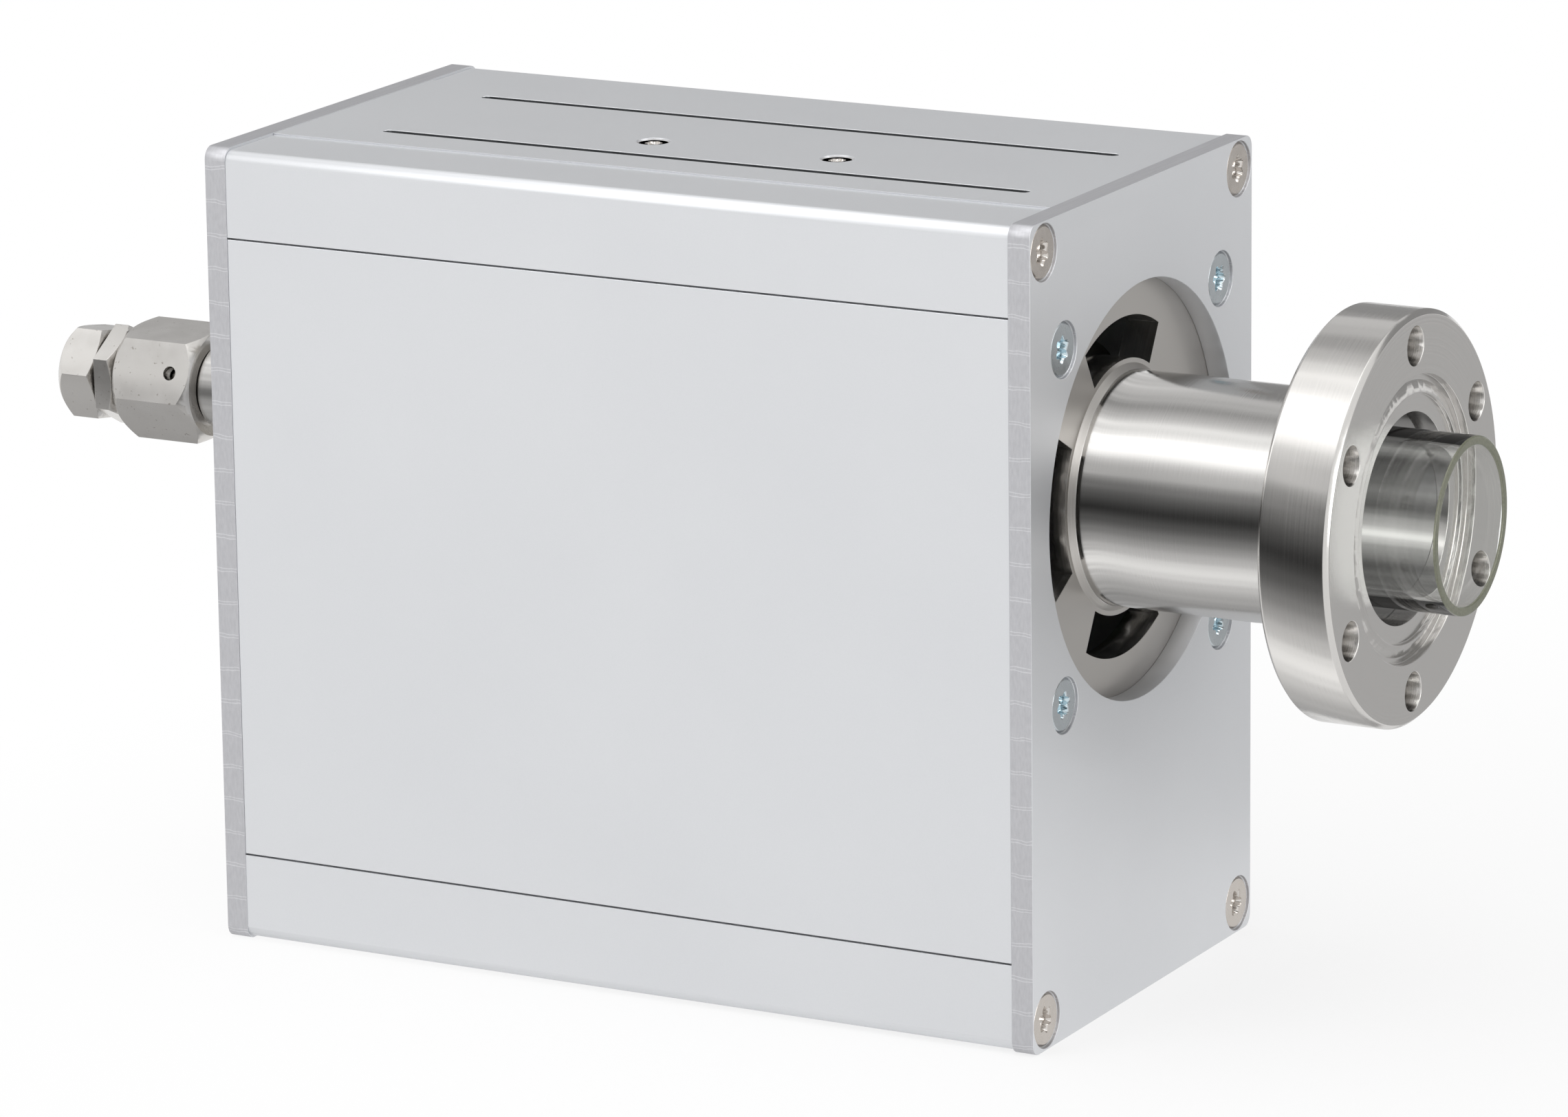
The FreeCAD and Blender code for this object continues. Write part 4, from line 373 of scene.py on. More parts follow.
# %% Shapes of the light tents
TENT_STEPS = 73
FLANGE_BANDS = [
    (71, 0.85), (84, 0.7), (95, 0.45), (110, 0.95), (128, 1.9), (137, 1.8), (150, 0.8),
    (164, 0.33), (175, 0.1), (183, 0.03), (192, 0.14), (208, 0.55), (226, 1.25), (236, 1.1),
    (250, 0.62), (275, 0.45),
]
FITTING_BANDS = [
    (20, 0.5), (60, 0.6), (90, 1.0), (112, 1.2), (130, 1.0), (154, 0.86), (168, 0.7),
    (180, 0.26), (190, 0.22), (204, 0.5), (228, 0.6), (250, 0.48), (280, 0.4),
]
BORE_BANDS = [
    (0, 0.3), (8, 0.16), (22, 0.1), (34, 0.4), (46, 0.12), (80, 0.3), (110, 0.45),
    (180, 0.3), (250, 0.4), (285, 0.08), (300, 0.22), (314, 0.12), (326, 0.5), (334, 1.5),
    (342, 0.6), (350, 0.16), (360, 0.3),
]
TENTS = {
    "flange_tent": ([(-0.0522, 0.0212), (-0.0493, 0.0352), (-0.038, 0.05), (0.006, 0.05)],
                    FLANGE_BANDS, True, True),
    "fitting_tent": ([(-0.285, 0.03), (-0.212, 0.03)], FITTING_BANDS, True, False),
    "bore_sleeve": ([(-0.052, 0.0164), (-0.001, 0.0164)], BORE_BANDS, False, False),
}


def around(x, radius, turn):
    """Points (x, r cos t, r sin t), where t is the turn about the X axis, from +Y over +Z."""
    return np.stack([x + 0 * turn, radius * np.cos(turn), radius * np.sin(turn)], axis=-1)


def tent_mesh(name, profile, bands, lit_inside):
    """A row of points for each (x, radius) of the profile, from the first band's angle to
    the last's. Its faces look to the lit side."""
    turn = np.radians(np.linspace(bands[0][0], bands[-1][0], TENT_STEPS))
    rows = [around(x, radius, turn) for x, radius in profile]
    row, step = np.meshgrid(np.arange(len(rows) - 1), np.arange(len(turn) - 1), indexing="ij")
    first = (row * len(turn) + step).reshape(-1)
    quads = np.stack([first, first + 1, first + len(turn) + 1, first + len(turn)], axis=-1)
    mesh = bpy.data.meshes.new(name)
    mesh.from_pydata(np.concatenate(rows).tolist(), [], quads.tolist())
    side = mesh.polygons[-1]
    outwards = side.normal.dot(side.center - Vector((side.center.x, 0, 0))) > 0
    if outwards == lit_inside:
        mesh.flip_normals()
    return mesh


tents = {name: tent_mesh(name, *sizes[:3]) for name, sizes in TENTS.items()}
print(len(tents), "tents of", sum(len(mesh.polygons) for mesh in tents.values()), "faces")

# %% [markdown]
# A tent's light is a function of the angle t about the X axis, from +Y over +Z. A colour
# ramp holds its bands, and a noise adds finer streaks: it reads cos t and sin t instead of
# t, so that it has no seam where the turn closes. Everything is written as a share of a
# turn, because a ramp runs from 0 to 1.

# %% Light of the tents
TENT_STRENGTH, TENT_STREAKS, STREAK_SCALE = 2.0, 0.28, 9.0
CUP_OUTER, CUP_INNER, CUP_STRETCH, CUP_POWER = 0.05, 0.0212, 0.5, 2.5
TOWARDS_CAMERA = 163.8 / 360
ANY_PLACE = 0.5


def straightened(shader, turn):
    """Near the foot of the cup a tube's mirrored rays meet it sooner, nearer to the angle
    that they came from, so the bands would flare out there. Their angle from the camera's
    side is stretched by 1 + s u^p instead, where u goes from 0 at the rim to 1 at the foot."""
    radius = axis(shader, ring_place(shader), 1)
    depth = span(shader, radius, 0.0, 1.0, CUP_OUTER, CUP_INNER)
    power = maths(shader, "POWER", depth, CUP_POWER)
    stretch = maths(shader, "MULTIPLY_ADD", power, CUP_STRETCH, 1.0)
    off = maths(shader, "SUBTRACT", turn, TOWARDS_CAMERA)
    return maths(shader, "MULTIPLY_ADD", off, stretch, TOWARDS_CAMERA)


def band_ramp(shader, turn, bands):
    """The bands as a ramp's stops. A stop that moves may change its place in the list, so
    all of them are put in their places before any gets its level."""
    ramp = add_node(shader, "ValToRGB", turn)
    stops = ramp.color_ramp.elements
    while len(stops) < len(bands):
        stops.new(ANY_PLACE)
    for stop, (degrees, _) in zip(stops, bands):
        stop.position = degrees / 360
    for stop, (_, level) in zip(stops, bands):
        stop.color = (level / TENT_STRENGTH,) * 3 + (1,)
    return ramp.outputs[0]


def make_tent(name, mesh, bands, is_cup):
    """Light of ramp(t) (1 + s n(cos t, sin t)), where n is a noise from -1 to 1, on the side
    that the faces look to, and nothing on the other."""
    material, shader = start_material(name, (0, 0, 0), roughness=1.0)
    place = object_place(shader)
    angle = maths(shader, "ARCTAN2", axis(shader, place, 2), axis(shader, place, 1))
    turn = maths(shader, "FRACT", maths(shader, "MULTIPLY", angle, 1 / (2 * math.pi)))
    if is_cup:
        turn = straightened(shader, turn)
    radians = maths(shader, "MULTIPLY", turn, 2 * math.pi)
    cosine, sine = (maths(shader, wave, radians) for wave in ("COSINE", "SINE"))
    circle = add_node(shader, "CombineXYZ", 0.0, cosine, sine).outputs[0]
    streaks = noise(shader, circle, STREAK_SCALE, detail=3)
    strength = span(shader, streaks, TENT_STRENGTH * (1 - TENT_STREAKS),
                    TENT_STRENGTH * (1 + TENT_STREAKS))
    glow = add_node(shader, "Emission", band_ramp(shader, turn, bands), strength).outputs[0]
    behind = add_node(shader, "NewGeometry").outputs["Backfacing"]
    clear = add_node(shader, "BsdfTransparent").outputs[0]
    shown = add_node(shader, "MixShader", behind, glow, clear).outputs[0]
    for_mirrors_only(bpy.data.objects.new(name, mesh), material, shader, shown)


for name, (_, bands, _, is_cup) in TENTS.items():
    make_tent(name, tents[name], bands, is_cup)
print("bands of", ", ".join(TENTS))

# %% [markdown]
# New pieces are surfaces computed with numpy. A surface is a grid of points, rows by
# columns, and each row is closed into a ring. A row of radius zero is a pole: its points
# are merged into one, so that the surface closes without a hole.

# %% Helpers for meshes
SAME_POINT = 1e-7
CORNER_SHARE = 0.45


def ring_faces(rows, columns, first=0):
    """Quads between neighbouring rings of a grid of points."""
    row, column = np.meshgrid(np.arange(rows - 1), np.arange(columns), indexing="ij")
    following = (column + 1) % columns
    quads = np.stack([row * columns + column, row * columns + following,
                      (row + 1) * columns + following, (row + 1) * columns + column], axis=-1)
    return quads.reshape(-1, 4) + first


def put_mesh(name, points, quads, smooth_angle, material_numbers=None):
    """A mesh piece at the origin. Doubled points are merged and its faces turned outwards."""
    mesh = bpy.data.meshes.new(name)
    mesh.from_pydata(points.reshape(-1, 3).tolist(), [], quads.tolist())
    if material_numbers is not None:
        mesh.polygons.foreach_set("material_index", material_numbers)
    piece = bpy.data.objects.new(name, mesh)
    bpy.context.scene.collection.objects.link(piece)
    sheet = bmesh.new()
    sheet.from_mesh(mesh)
    bmesh.ops.remove_doubles(sheet, verts=sheet.verts, dist=SAME_POINT)
    bmesh.ops.recalc_face_normals(sheet, faces=sheet.faces)
    sheet.to_mesh(mesh)
    sheet.free()
    mesh.shade_smooth()
    mesh.set_sharp_from_angle(angle=math.radians(smooth_angle))
    return piece


def turned_points(profile, columns):
    """The points of a lathe surface: profile rows are (x, radius)."""
    profile = np.asarray(profile, float)
    turn = np.linspace(0, 2 * np.pi, columns, endpoint=False)
    return around(profile[:, :1], profile[:, 1:], turn)


def rounded(profile, radius, steps):
    """The profile with each inner corner c replaced by the curve (1 - s)^2 a + 2 s (1 - s) c
    + s^2 b, from a point a before the corner to a point b after it."""
    profile = np.asarray(profile, float)
    rows = [profile[:1]]
    share = np.linspace(0, 1, steps + 1)[:, None]
    for before, corner, after in zip(profile[:-2], profile[1:-1], profile[2:]):
        run_in, run_out = before - corner, after - corner
        length_in, length_out = np.linalg.norm(run_in), np.linalg.norm(run_out)
        start = corner + run_in / length_in * min(radius, length_in * CORNER_SHARE)
        end = corner + run_out / length_out * min(radius, length_out * CORNER_SHARE)
        rest = 1 - share
        rows.append(rest ** 2 * start + 2 * share * rest * corner + share ** 2 * end)
    rows.append(profile[-1:])
    return np.concatenate(rows)


print("mesh helpers ready")

# %% [markdown]
# A machined edge is never perfectly sharp: a hair of a radius catches the light along it.
# The frame's pieces are left as they are and get modifiers instead. Weld joins their loose
# triangles, Decimate in its planar mode forgets the triangles inside flat faces, and
# Bevel then rounds every edge that turns by more than the given angle.

# %% Edges of the frame's pieces
WELD_REACH = 2e-6
FLAT_ANGLE, EDGE_ANGLE = math.radians(0.5), math.radians(28)
EDGE_SEGMENTS = 2
SOFT_EDGES = {
    0.00025: ["flange_end_plate", "gas_end_plate"],
    0.00012: ["front_panel", "rear_panel"],
    0.00008: ["top_shell", "bottom_shell"],
    0.00015: ["cf_flange", "support_flange", "union_nut", "union_body", "tube_nut"],
}


def soften(name, radius):
    """Weld, planar Decimate and Bevel on a frame node."""
    piece = nodes[name]
    weld = piece.modifiers.new("weld", "WELD")
    weld.merge_threshold = WELD_REACH
    flatten = piece.modifiers.new("flatten", "DECIMATE")
    flatten.decimate_type = "DISSOLVE"
    flatten.angle_limit = FLAT_ANGLE
    edge = piece.modifiers.new("edge", "BEVEL")
    edge.width = radius
    edge.segments = EDGE_SEGMENTS
    edge.limit_method = "ANGLE"
    edge.angle_limit = EDGE_ANGLE
    edge.harden_normals = True
    edge.use_clamp_overlap = True


for radius, names in SOFT_EDGES.items():
    for name in names:
        soften(name, radius)
print(sum(len(names) for names in SOFT_EDGES.values()), "nodes have soft edges")

# %% [markdown]
# The box is bead-blasted aluminium with a clear anodic layer. Blasting leaves dimples of a
# few hundredths of a millimetre: too small to see one by one, but they spread every
# reflection, so the metal looks soft and almost white. A very fine noise drives both a
# little relief and the roughness, and a slow one makes the tone drift by a percent or two.

# %% Anodised aluminium
ALUMINIUM_DARK = (0.672, 0.682, 0.702)
ALUMINIUM_LIGHT = (0.712, 0.722, 0.739)
ALUMINIUM_METAL, ALUMINIUM_ROUGHNESS, GRAIN_ROUGHNESS = 0.75, 0.42, (0.40, 0.54)
DRIFT_SCALE, GRAIN_SCALE, GRAIN_DEPTH = 28, 7000, 5e-6
# Painted shade for the walls of the vents and of the step.
SLOT_SHADE, STEP_SHADE = (0.10, 0.105, 0.11), (0.50, 0.51, 0.53)
SLOT_OFFSET, SLOT_REACH, SLOT_RIM = 0.0168, 0.00116, 0.00012
STEP_OFFSET, STEP_REACH, STEP_DEPTH = 0.0267, 0.00008, 0.0004


def anodised_shader(name):
    """The satin coat that all of the box shares; returns its material and shader."""
    material, shader = start_material(name, ALUMINIUM_LIGHT, ALUMINIUM_METAL,
                                      ALUMINIUM_ROUGHNESS)
    place = object_place(shader)
    drift = noise(shader, place, DRIFT_SCALE, detail=4)
    wire(shader, "Base Color", blend(shader, drift, ALUMINIUM_DARK, ALUMINIUM_LIGHT))
    grain = noise(shader, place, GRAIN_SCALE, detail=2)
    wire(shader, "Roughness", span(shader, grain, *GRAIN_ROUGHNESS))
    bump(shader, grain, GRAIN_DEPTH)
    return material, shader


def inside(shader, value, centre, reach):
    """1 where value is within reach of centre, else 0."""
    off = maths(shader, "ABSOLUTE", maths(shader, "SUBTRACT", value, centre))
    return maths(shader, "LESS_THAN", off, reach)


def anodised():
    """The coat of the shells and panels, with painted shade: the walls of the milled vents
    are painted near black, and the wall of the step beside them a darker grey."""
    material, shader = anodised_shader("anodised_aluminium")
    low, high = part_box("bottom_shell")[0].z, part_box("top_shell")[1].z
    middle, half = (low + high) / 2, (high - low) / 2
    place = object_place(shader)
    across, height = maths(shader, "ABSOLUTE", axis(shader, place, 1)), axis(shader, place, 2)
    # Painted shade: the vent walls get SLOT_SHADE and the step's wall STEP_SHADE.
    in_slot = inside(shader, across, SLOT_OFFSET, SLOT_REACH)
    dark = maths(shader, "MULTIPLY", in_slot, inside(shader, height, middle, half - SLOT_RIM))
    at_step = inside(shader, across, STEP_OFFSET, STEP_REACH)
    deep = inside(shader, height, middle, half - STEP_DEPTH)
    step = maths(shader, "MULTIPLY", at_step, maths(shader, "SUBTRACT", 1.0, deep))
    plain = shader.inputs["Base Color"].links[0].from_socket
    coat = blend(shader, step, plain, STEP_SHADE)
    wire(shader, "Base Color", blend(shader, dark, coat, SLOT_SHADE))
    return material


print("blasted aluminium, from", ALUMINIUM_DARK, "to", ALUMINIUM_LIGHT)

# %% [markdown]
# The end plates are cut from sheet, so their narrow edges keep what the end mill left: fine
# streaks and, at each pitch, two faint lines. The marks are a saw wave of the height z,
# nudged by a slow noise so that the lines aren't ruled, and a colour ramp picks the two
# lines out of each wave. Two masks hold the marks to the edges: how far a face looks along
# X, and the distance from the tube's axis, which leaves the round opening out.

# %% Milled edges of the end plates
MILL_PITCH, OPENING_RADIUS, HALFWAY = 0.0059, 0.037, 0.5
MILL_WOBBLE, WOBBLE_SCALE, STREAK_STRETCH = 0.0012, 260, (2600, 90, 700)
MILL_LINES = ((0.45, 0.0), (0.47, 1.0), (0.49, 0.0), (0.535, 0.0), (0.555, 1.0), (0.575, 0.0))
LINE_SHARE, STREAK_SHARE, MILLED_SPAN = 0.45, 0.4, (0.0, 0.8, 0.1, 0.8)
MILLED_EDGE, MILLED_LINE = (0.47, 0.47, 0.49), (0.76, 0.76, 0.78)


def looks_along_x(shader):
    """How far a face looks along the X axis: 1 on flat ends, 0 on sides."""
    normal = add_node(shader, "TexCoord").outputs["Normal"]
    return maths(shader, "ABSOLUTE", axis(shader, normal, 0))


def mill_lines(shader, height):
    """The two lines of each pitch, on a height that wobbles by up to a millimetre."""
    wobble = noise(shader, object_place(shader), WOBBLE_SCALE, detail=2)
    level = maths(shader, "ADD", height, maths(shader, "MULTIPLY", wobble, MILL_WOBBLE))
    turns = maths(shader, "MULTIPLY", level, 1 / MILL_PITCH)
    lines = add_node(shader, "ValToRGB", maths(shader, "FRACT", turns))
    stops = lines.color_ramp.elements
    for position, grey in MILL_LINES:
        stops.new(position).color = (grey, grey, grey, 1)
    stops[0].color = (0, 0, 0, 1)
    stops[-1].color = (0, 0, 0, 1)
    return lines.outputs[0]


def milled_plate():
    """The coat of the end plates, with the marks of the mill on their edges."""
    material, shader = anodised_shader("milled_plate")
    lines = mill_lines(shader, axis(shader, object_place(shader), 2))
    side = maths(shader, "LESS_THAN", looks_along_x(shader), HALFWAY)
    radius = axis(shader, ring_place(shader), 1)
    outer = maths(shader, "GREATER_THAN", radius, OPENING_RADIUS)
    on_edge = maths(shader, "MULTIPLY", side, outer)
    streaks = noise(shader, object_place(shader, STREAK_STRETCH), 1.0, detail=3)
    faint = maths(shader, "MULTIPLY", streaks, STREAK_SHARE)
    marks = maths(shader, "MULTIPLY_ADD", lines, LINE_SHARE, faint)
    shown = maths(shader, "MULTIPLY", marks, on_edge)
    plain = shader.inputs["Base Color"].links[0].from_socket
    coat = blend(shader, on_edge, plain, MILLED_EDGE)
    bright = span(shader, shown, *MILLED_SPAN)
    wire(shader, "Base Color", blend(shader, bright, coat, MILLED_LINE))
    return material


print("two mill lines each", round(MILL_PITCH * 1000, 1), "mm")

# %% [markdown]
# Turned stainless steel carries the trace of the tool: fine rings round the axis of the
# lathe. They come from a noise that reads one number only, the place along the axis on
# round faces and the distance from it on flat ones, so each line closes on itself. The
# rings are finer than a pixel, so what shows is not the rings but their effect: every
# reflection is drawn out across them. The weld beads are duller: welding leaves a thin
# grey-brown oxide there, which scatters light instead of mirroring it.

# %% Turned steel
BEAD_LEG, BEAD_REACH, TUBE_CLEARANCE = 0.001, 0.0006, 0.00005
BEADS = (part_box("support_flange")[1].x + BEAD_LEG / 2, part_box("cf_flange")[0].x - BEAD_LEG / 2)
TUBE_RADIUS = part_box("nipple_tube")[1].z - BEAD_LEG
OXIDE, OXIDE_ROUGHNESS, OXIDE_METAL = (0.52, 0.50, 0.475), 0.32, 0.9
RING_SMOOTH, RING_ROUGH, RING_DARK = 0.75, 1.3, 0.9


def on_bead(shader):
    """1 on the two weld beads of the nipple, which stand proud of its tube, else 0."""
    place = ring_place(shader)
    near = [inside(shader, axis(shader, place, 0), centre, BEAD_REACH) for centre in BEADS]
    proud = maths(shader, "GREATER_THAN", axis(shader, place, 1), TUBE_RADIUS + TUBE_CLEARANCE)
    return maths(shader, "MULTIPLY", maths(shader, "MAXIMUM", *near), proud)


def turned_steel(name, colour, roughness, spacing, depth):
    """Steel with rings round the tube's axis, spacing of them per metre. A round face's
    rings follow x alone and a flat face's r alone: the distance r of a point on a round
    face isn't quite even, because the frame's round faces are made of narrow flat strips."""
    material, shader = start_material(name, colour, 1.0, roughness)
    flat = maths(shader, "GREATER_THAN", looks_along_x(shader), HALFWAY)
    curved = maths(shader, "SUBTRACT", 1.0, flat)
    weights = add_node(shader, "CombineXYZ", curved, flat, 0.0).outputs[0]
    place = times(shader, ring_place(shader, spacing), weights)
    rings = noise(shader, place, 1.0, detail=4)
    bead = on_bead(shader)
    shine = span(shader, rings, roughness * RING_SMOOTH, roughness * RING_ROUGH)
    dull = maths(shader, "MULTIPLY", bead, OXIDE_ROUGHNESS)
    wire(shader, "Roughness", maths(shader, "MAXIMUM", shine, dull))
    wire(shader, "Metallic", span(shader, bead, 1.0, OXIDE_METAL, 0.0, 1.0))
    darker = tuple(channel * RING_DARK for channel in colour)
    coat = blend(shader, rings, darker, colour)
    wire(shader, "Base Color", blend(shader, bead, coat, OXIDE))
    bump(shader, rings, depth)
    return material


print("weld beads at x =", [round(x * 1000, 1) for x in BEADS], "mm")

# %% [markdown]
# The fitting is cut from hexagon bar that was drawn and wiped, so it has stains and specks
# instead of rings. Screws are pressed cold and then tumbled, which leaves small soft dents
# under the plating. In both one noise drives the tone, the shine and a little relief, and
# the bar's specks are the peaks of a second, finer one.

# %% Drawn and cold-headed steel
DRAWN_STEEL, DRAWN_ROUGHNESS, DRAWN_SPECK = (0.65, 0.635, 0.61), 0.22, (0.42, 0.40, 0.37)
DRAWN_DARK, DRAWN_LIGHT = (0.60, 0.58, 0.555), (0.665, 0.65, 0.63)
STAIN_SCALE, SPECK_SCALE, DENT_SCALE, SOFT_RELIEF = 260, 1500, 420, 4e-6
SPECK_FIRST, SPECK_FULL, STAIN_ROUGHNESS = 0.68, 0.74, (0.18, 0.28)


def drawn_steel():
    """Hexagon bar, wiped smooth: broad faint stains and a few specks on a warm grey."""
    material, shader = start_material("drawn_steel", DRAWN_STEEL, 1.0, DRAWN_ROUGHNESS)
    stains = noise(shader, object_place(shader), STAIN_SCALE, detail=4)
    flecks = noise(shader, object_place(shader), SPECK_SCALE, detail=2)
    specks = span(shader, flecks, 0.0, 1.0, SPECK_FIRST, SPECK_FULL)
    wire(shader, "Roughness", span(shader, stains, *STAIN_ROUGHNESS))
    coat = blend(shader, stains, DRAWN_DARK, DRAWN_LIGHT)
    wire(shader, "Base Color", blend(shader, specks, coat, DRAWN_SPECK))
    bump(shader, stains, SOFT_RELIEF, strength=0.6)
    return material


def screw_steel(name, dark, light, roughness):
    """Cold-headed and tumbled steel: small soft dents under the plating."""
    return speckled(name, dark, light, 1.0, roughness, DENT_SCALE, SOFT_RELIEF, detail=1,
                    spread=0.15, strength=0.4)


print("drawn and cold-headed steel ready")

# %% [markdown]
# Two more materials have nodes of their own. A circuit board shows its tracks under the
# green lacquer, where they stand a little proud. Fused quartz is clear, but the wall of a
# drawn tube has a faint waviness, and that bends what shows through it.

# %% Circuit board and quartz
LACQUER, LACQUER_DARK, TRACK = (0.02, 0.16, 0.06), (0.012, 0.11, 0.045), (0.05, 0.3, 0.12)
TRACK_STRETCH, TRACK_GAP, TRACK_DEPTH = (420, 1, 420), 0.03, 3e-5
QUARTZ_TINT, QUARTZ_IOR = (0.975, 0.985, 0.975), 1.458
WAVE_STRETCH, WAVE_DEPTH = (25, 160, 160), 2.5e-5


def circuit_board():
    """Green lacquer over a grid of tracks, which stand a little proud of the board."""
    material, shader = start_material("circuit_board", LACQUER, 0.0, 0.3)
    tracks = add_node(shader, "TexBrick", object_place(shader, TRACK_STRETCH))
    for socket, grey in (("Color1", 0), ("Color2", 0.25), ("Mortar", 1)):
        tracks.inputs[socket].default_value = (grey, grey, grey, 1)
    tracks.inputs["Scale"].default_value = 1.0
    tracks.inputs["Mortar Size"].default_value = TRACK_GAP
    raised = add_node(shader, "RGBToBW", tracks.outputs[0]).outputs[0]
    wire(shader, "Base Color", blend(shader, raised, LACQUER_DARK, TRACK))
    bump(shader, raised, TRACK_DEPTH)
    return material


def clear_quartz():
    """Fused quartz: clear, with a faint waviness drawn along the tube."""
    material, shader = start_material("clear_quartz", QUARTZ_TINT, 0.0, 0.0,
                                      Transmission_Weight=1.0, IOR=QUARTZ_IOR)
    waves = noise(shader, object_place(shader, WAVE_STRETCH), 1.0, detail=2)
    bump(shader, waves, WAVE_DEPTH, strength=0.35)
    return material


print("circuit board and quartz ready")

# %% [markdown]
# Each node of the frame gets its finish by way of its material slots, which leaves its mesh
# alone. Behind the plates and at the back most finishes are speckled coats, because a flat
# colour would look false there too: rubber has a dull bloom, copper is stained by handling
# and moulded plastic has a sparked texture. Their table gives for each coat its dark and
# its light tone, how metallic and how rough it is, its waves per metre, its relief in
# metres, and the nodes that wear it. The nodes that aren't in a table are the screws and
# the quartz tube, for which new pieces stand in.

# %% Finishes of the frame's pieces
SPECKLED = {
    "seal_rubber": ((0.012, 0.011, 0.01), (0.03, 0.028, 0.026), 0.0, 0.6, 2500, 1e-5,
                    ["front_sealing_ring", "rear_sealing_ring"]),
    "silver_gasket": ((0.7, 0.69, 0.66), (0.82, 0.81, 0.78), 1.0, 0.25, 1800, 4e-6,
                      ["union_gasket"]),
    "bare_copper": ((0.62, 0.29, 0.16), (0.84, 0.46, 0.3), 1.0, 0.28, 180, 6e-6,
                    ["rf_coil", "tune_strap", "load_strap"]),
    "white_insulator": ((0.8, 0.79, 0.76), (0.88, 0.875, 0.85), 0.0, 0.45, 900, 8e-6,
                        ["coil_saddles", "capacitor_posts"]),
    "plain_sheet": ((0.6, 0.61, 0.62), (0.7, 0.71, 0.72), 1.0, 0.35, 300, 4e-6,
                    ["tuner_tray", "chassis_bracket", "bracket_nuts"]),
    "capacitor_metal": ((0.66, 0.66, 0.64), (0.78, 0.78, 0.76), 1.0, 0.22, 400, 4e-6,
                        ["tune_frame", "load_frame", "tune_stator", "load_stator",
                         "tune_rotor", "load_rotor"]),
    "motor_black": ((0.02, 0.02, 0.022), (0.05, 0.05, 0.055), 0.3, 0.5, 1200, 1.5e-5,
                    ["tune_motor", "load_motor"]),
    "ground_steel": ((0.56, 0.56, 0.56), (0.68, 0.68, 0.67), 1.0, 0.18, 900, 2e-6,
                     ["tune_motor_shaft", "load_motor_shaft", "motor_screws",
                      "board_spacers"]),
    "component_black": ((0.01, 0.01, 0.01), (0.03, 0.03, 0.03), 0.0, 0.45, 2200, 1e-5,
                        ["board_components"]),
    "nickel_plate": ((0.62, 0.6, 0.56), (0.72, 0.7, 0.66), 1.0, 0.2, 700, 4e-6,
                     ["control_connector", "connector_posts", "rf_jack"]),
    "white_core": ((0.8, 0.79, 0.74), (0.9, 0.89, 0.85), 0.0, 0.4, 900, 6e-6,
                   ["rf_jack_core"]),
    "fan_plastic": ((0.012, 0.012, 0.013), (0.03, 0.03, 0.032), 0.0, 0.5, 3000, 2e-5,
                    ["fan_frame", "fan_rotor"]),
    "guard_nickel": ((0.6, 0.6, 0.6), (0.74, 0.74, 0.73), 1.0, 0.18, 600, 4e-6,
                     ["fan_guard"]),
}
FINISHES = [
    (anodised(), ["top_shell", "bottom_shell", "front_panel", "rear_panel"]),
    (milled_plate(), ["flange_end_plate", "gas_end_plate"]),
    (turned_steel("turned_flange", (0.66, 0.645, 0.625), 0.2, 3000.0, 1.3e-5), ["cf_flange"]),
    (turned_steel("turned_support", (0.74, 0.725, 0.705), 0.2, 2500.0, 1.1e-5),
     ["support_flange"]),
    (turned_steel("turned_tube", (0.60, 0.59, 0.575), 0.17, 4000.0, 2e-5),
     ["nipple_tube", "rear_cap", "front_seal_nut", "rear_seal_nut"]),
    (turned_steel("turned_coupler", (0.62, 0.64, 0.67), 0.3, 1500.0, 6e-6),
     ["tune_coupler", "load_coupler"]),
    (drawn_steel(), ["union_nut", "union_body", "tube_nut", "ferrules"]),
    (circuit_board(), ["control_board"]),
]
coats = {name: speckled(name, *numbers) for name, (*numbers, _) in SPECKLED.items()}
FINISHES += [(coats[name], row[-1]) for name, row in SPECKLED.items()]
for material, names in FINISHES:
    for name in names:
        for slot in nodes[name].material_slots:
            slot.material = material
print(sum(len(names) for _, names in FINISHES), "nodes have their finish")

# %% [markdown]
# A countersunk screw is one surface of rings along its axis: recess floor, recess wall,
# face, rim, cone and shank. The recess has six lobes, which is the radius
# R (1 - w + w cos 6t) for the turn t, so a ring in the recess and a round ring differ only
# in that formula and can share one grid. The recess's faces get a lighter, smoother steel
# than the head: painted glints, and painted light against the shade inside the recess.

# %% Shape and steel of the screws
LOBE_WAVE, RECESS_DEPTH, RIM_SHARE = 0.135, 0.6, 0.038
RECESS_ROWS = 3
SCREW_COLUMNS = 72
DOME_TURNS = np.linspace(0.35, 1.45, 6)
# The second steel of each pair is the recess's, lighter than the head: painted glints.
STAINLESS = (screw_steel("stainless_screw", (0.50, 0.46, 0.42), (0.58, 0.54, 0.50), 0.26),
             screw_steel("stainless_recess_painted_glints", (0.55, 0.52, 0.49), (0.74, 0.71, 0.68), 0.14))
ZINC = (screw_steel("zinc_screw", (0.48, 0.515, 0.535), (0.56, 0.60, 0.62), 0.26),
        screw_steel("zinc_recess_painted_glints", (0.46, 0.58, 0.64), (0.70, 0.80, 0.84), 0.12))


def star_rows(rows):
    """Points of rings about the X axis. A row is (x, radius, lobed): a lobed ring has the
    radius R (1 - w + w cos 6t), a plain one R."""
    turn = np.linspace(0, 2 * np.pi, SCREW_COLUMNS, endpoint=False)
    lobes = 1 - LOBE_WAVE + LOBE_WAVE * np.cos(6 * turn)
    x, radius, lobed = (np.array(column, float)[:, None] for column in zip(*rows))
    return around(x, radius * np.where(lobed > 0, lobes, 1.0), turn)


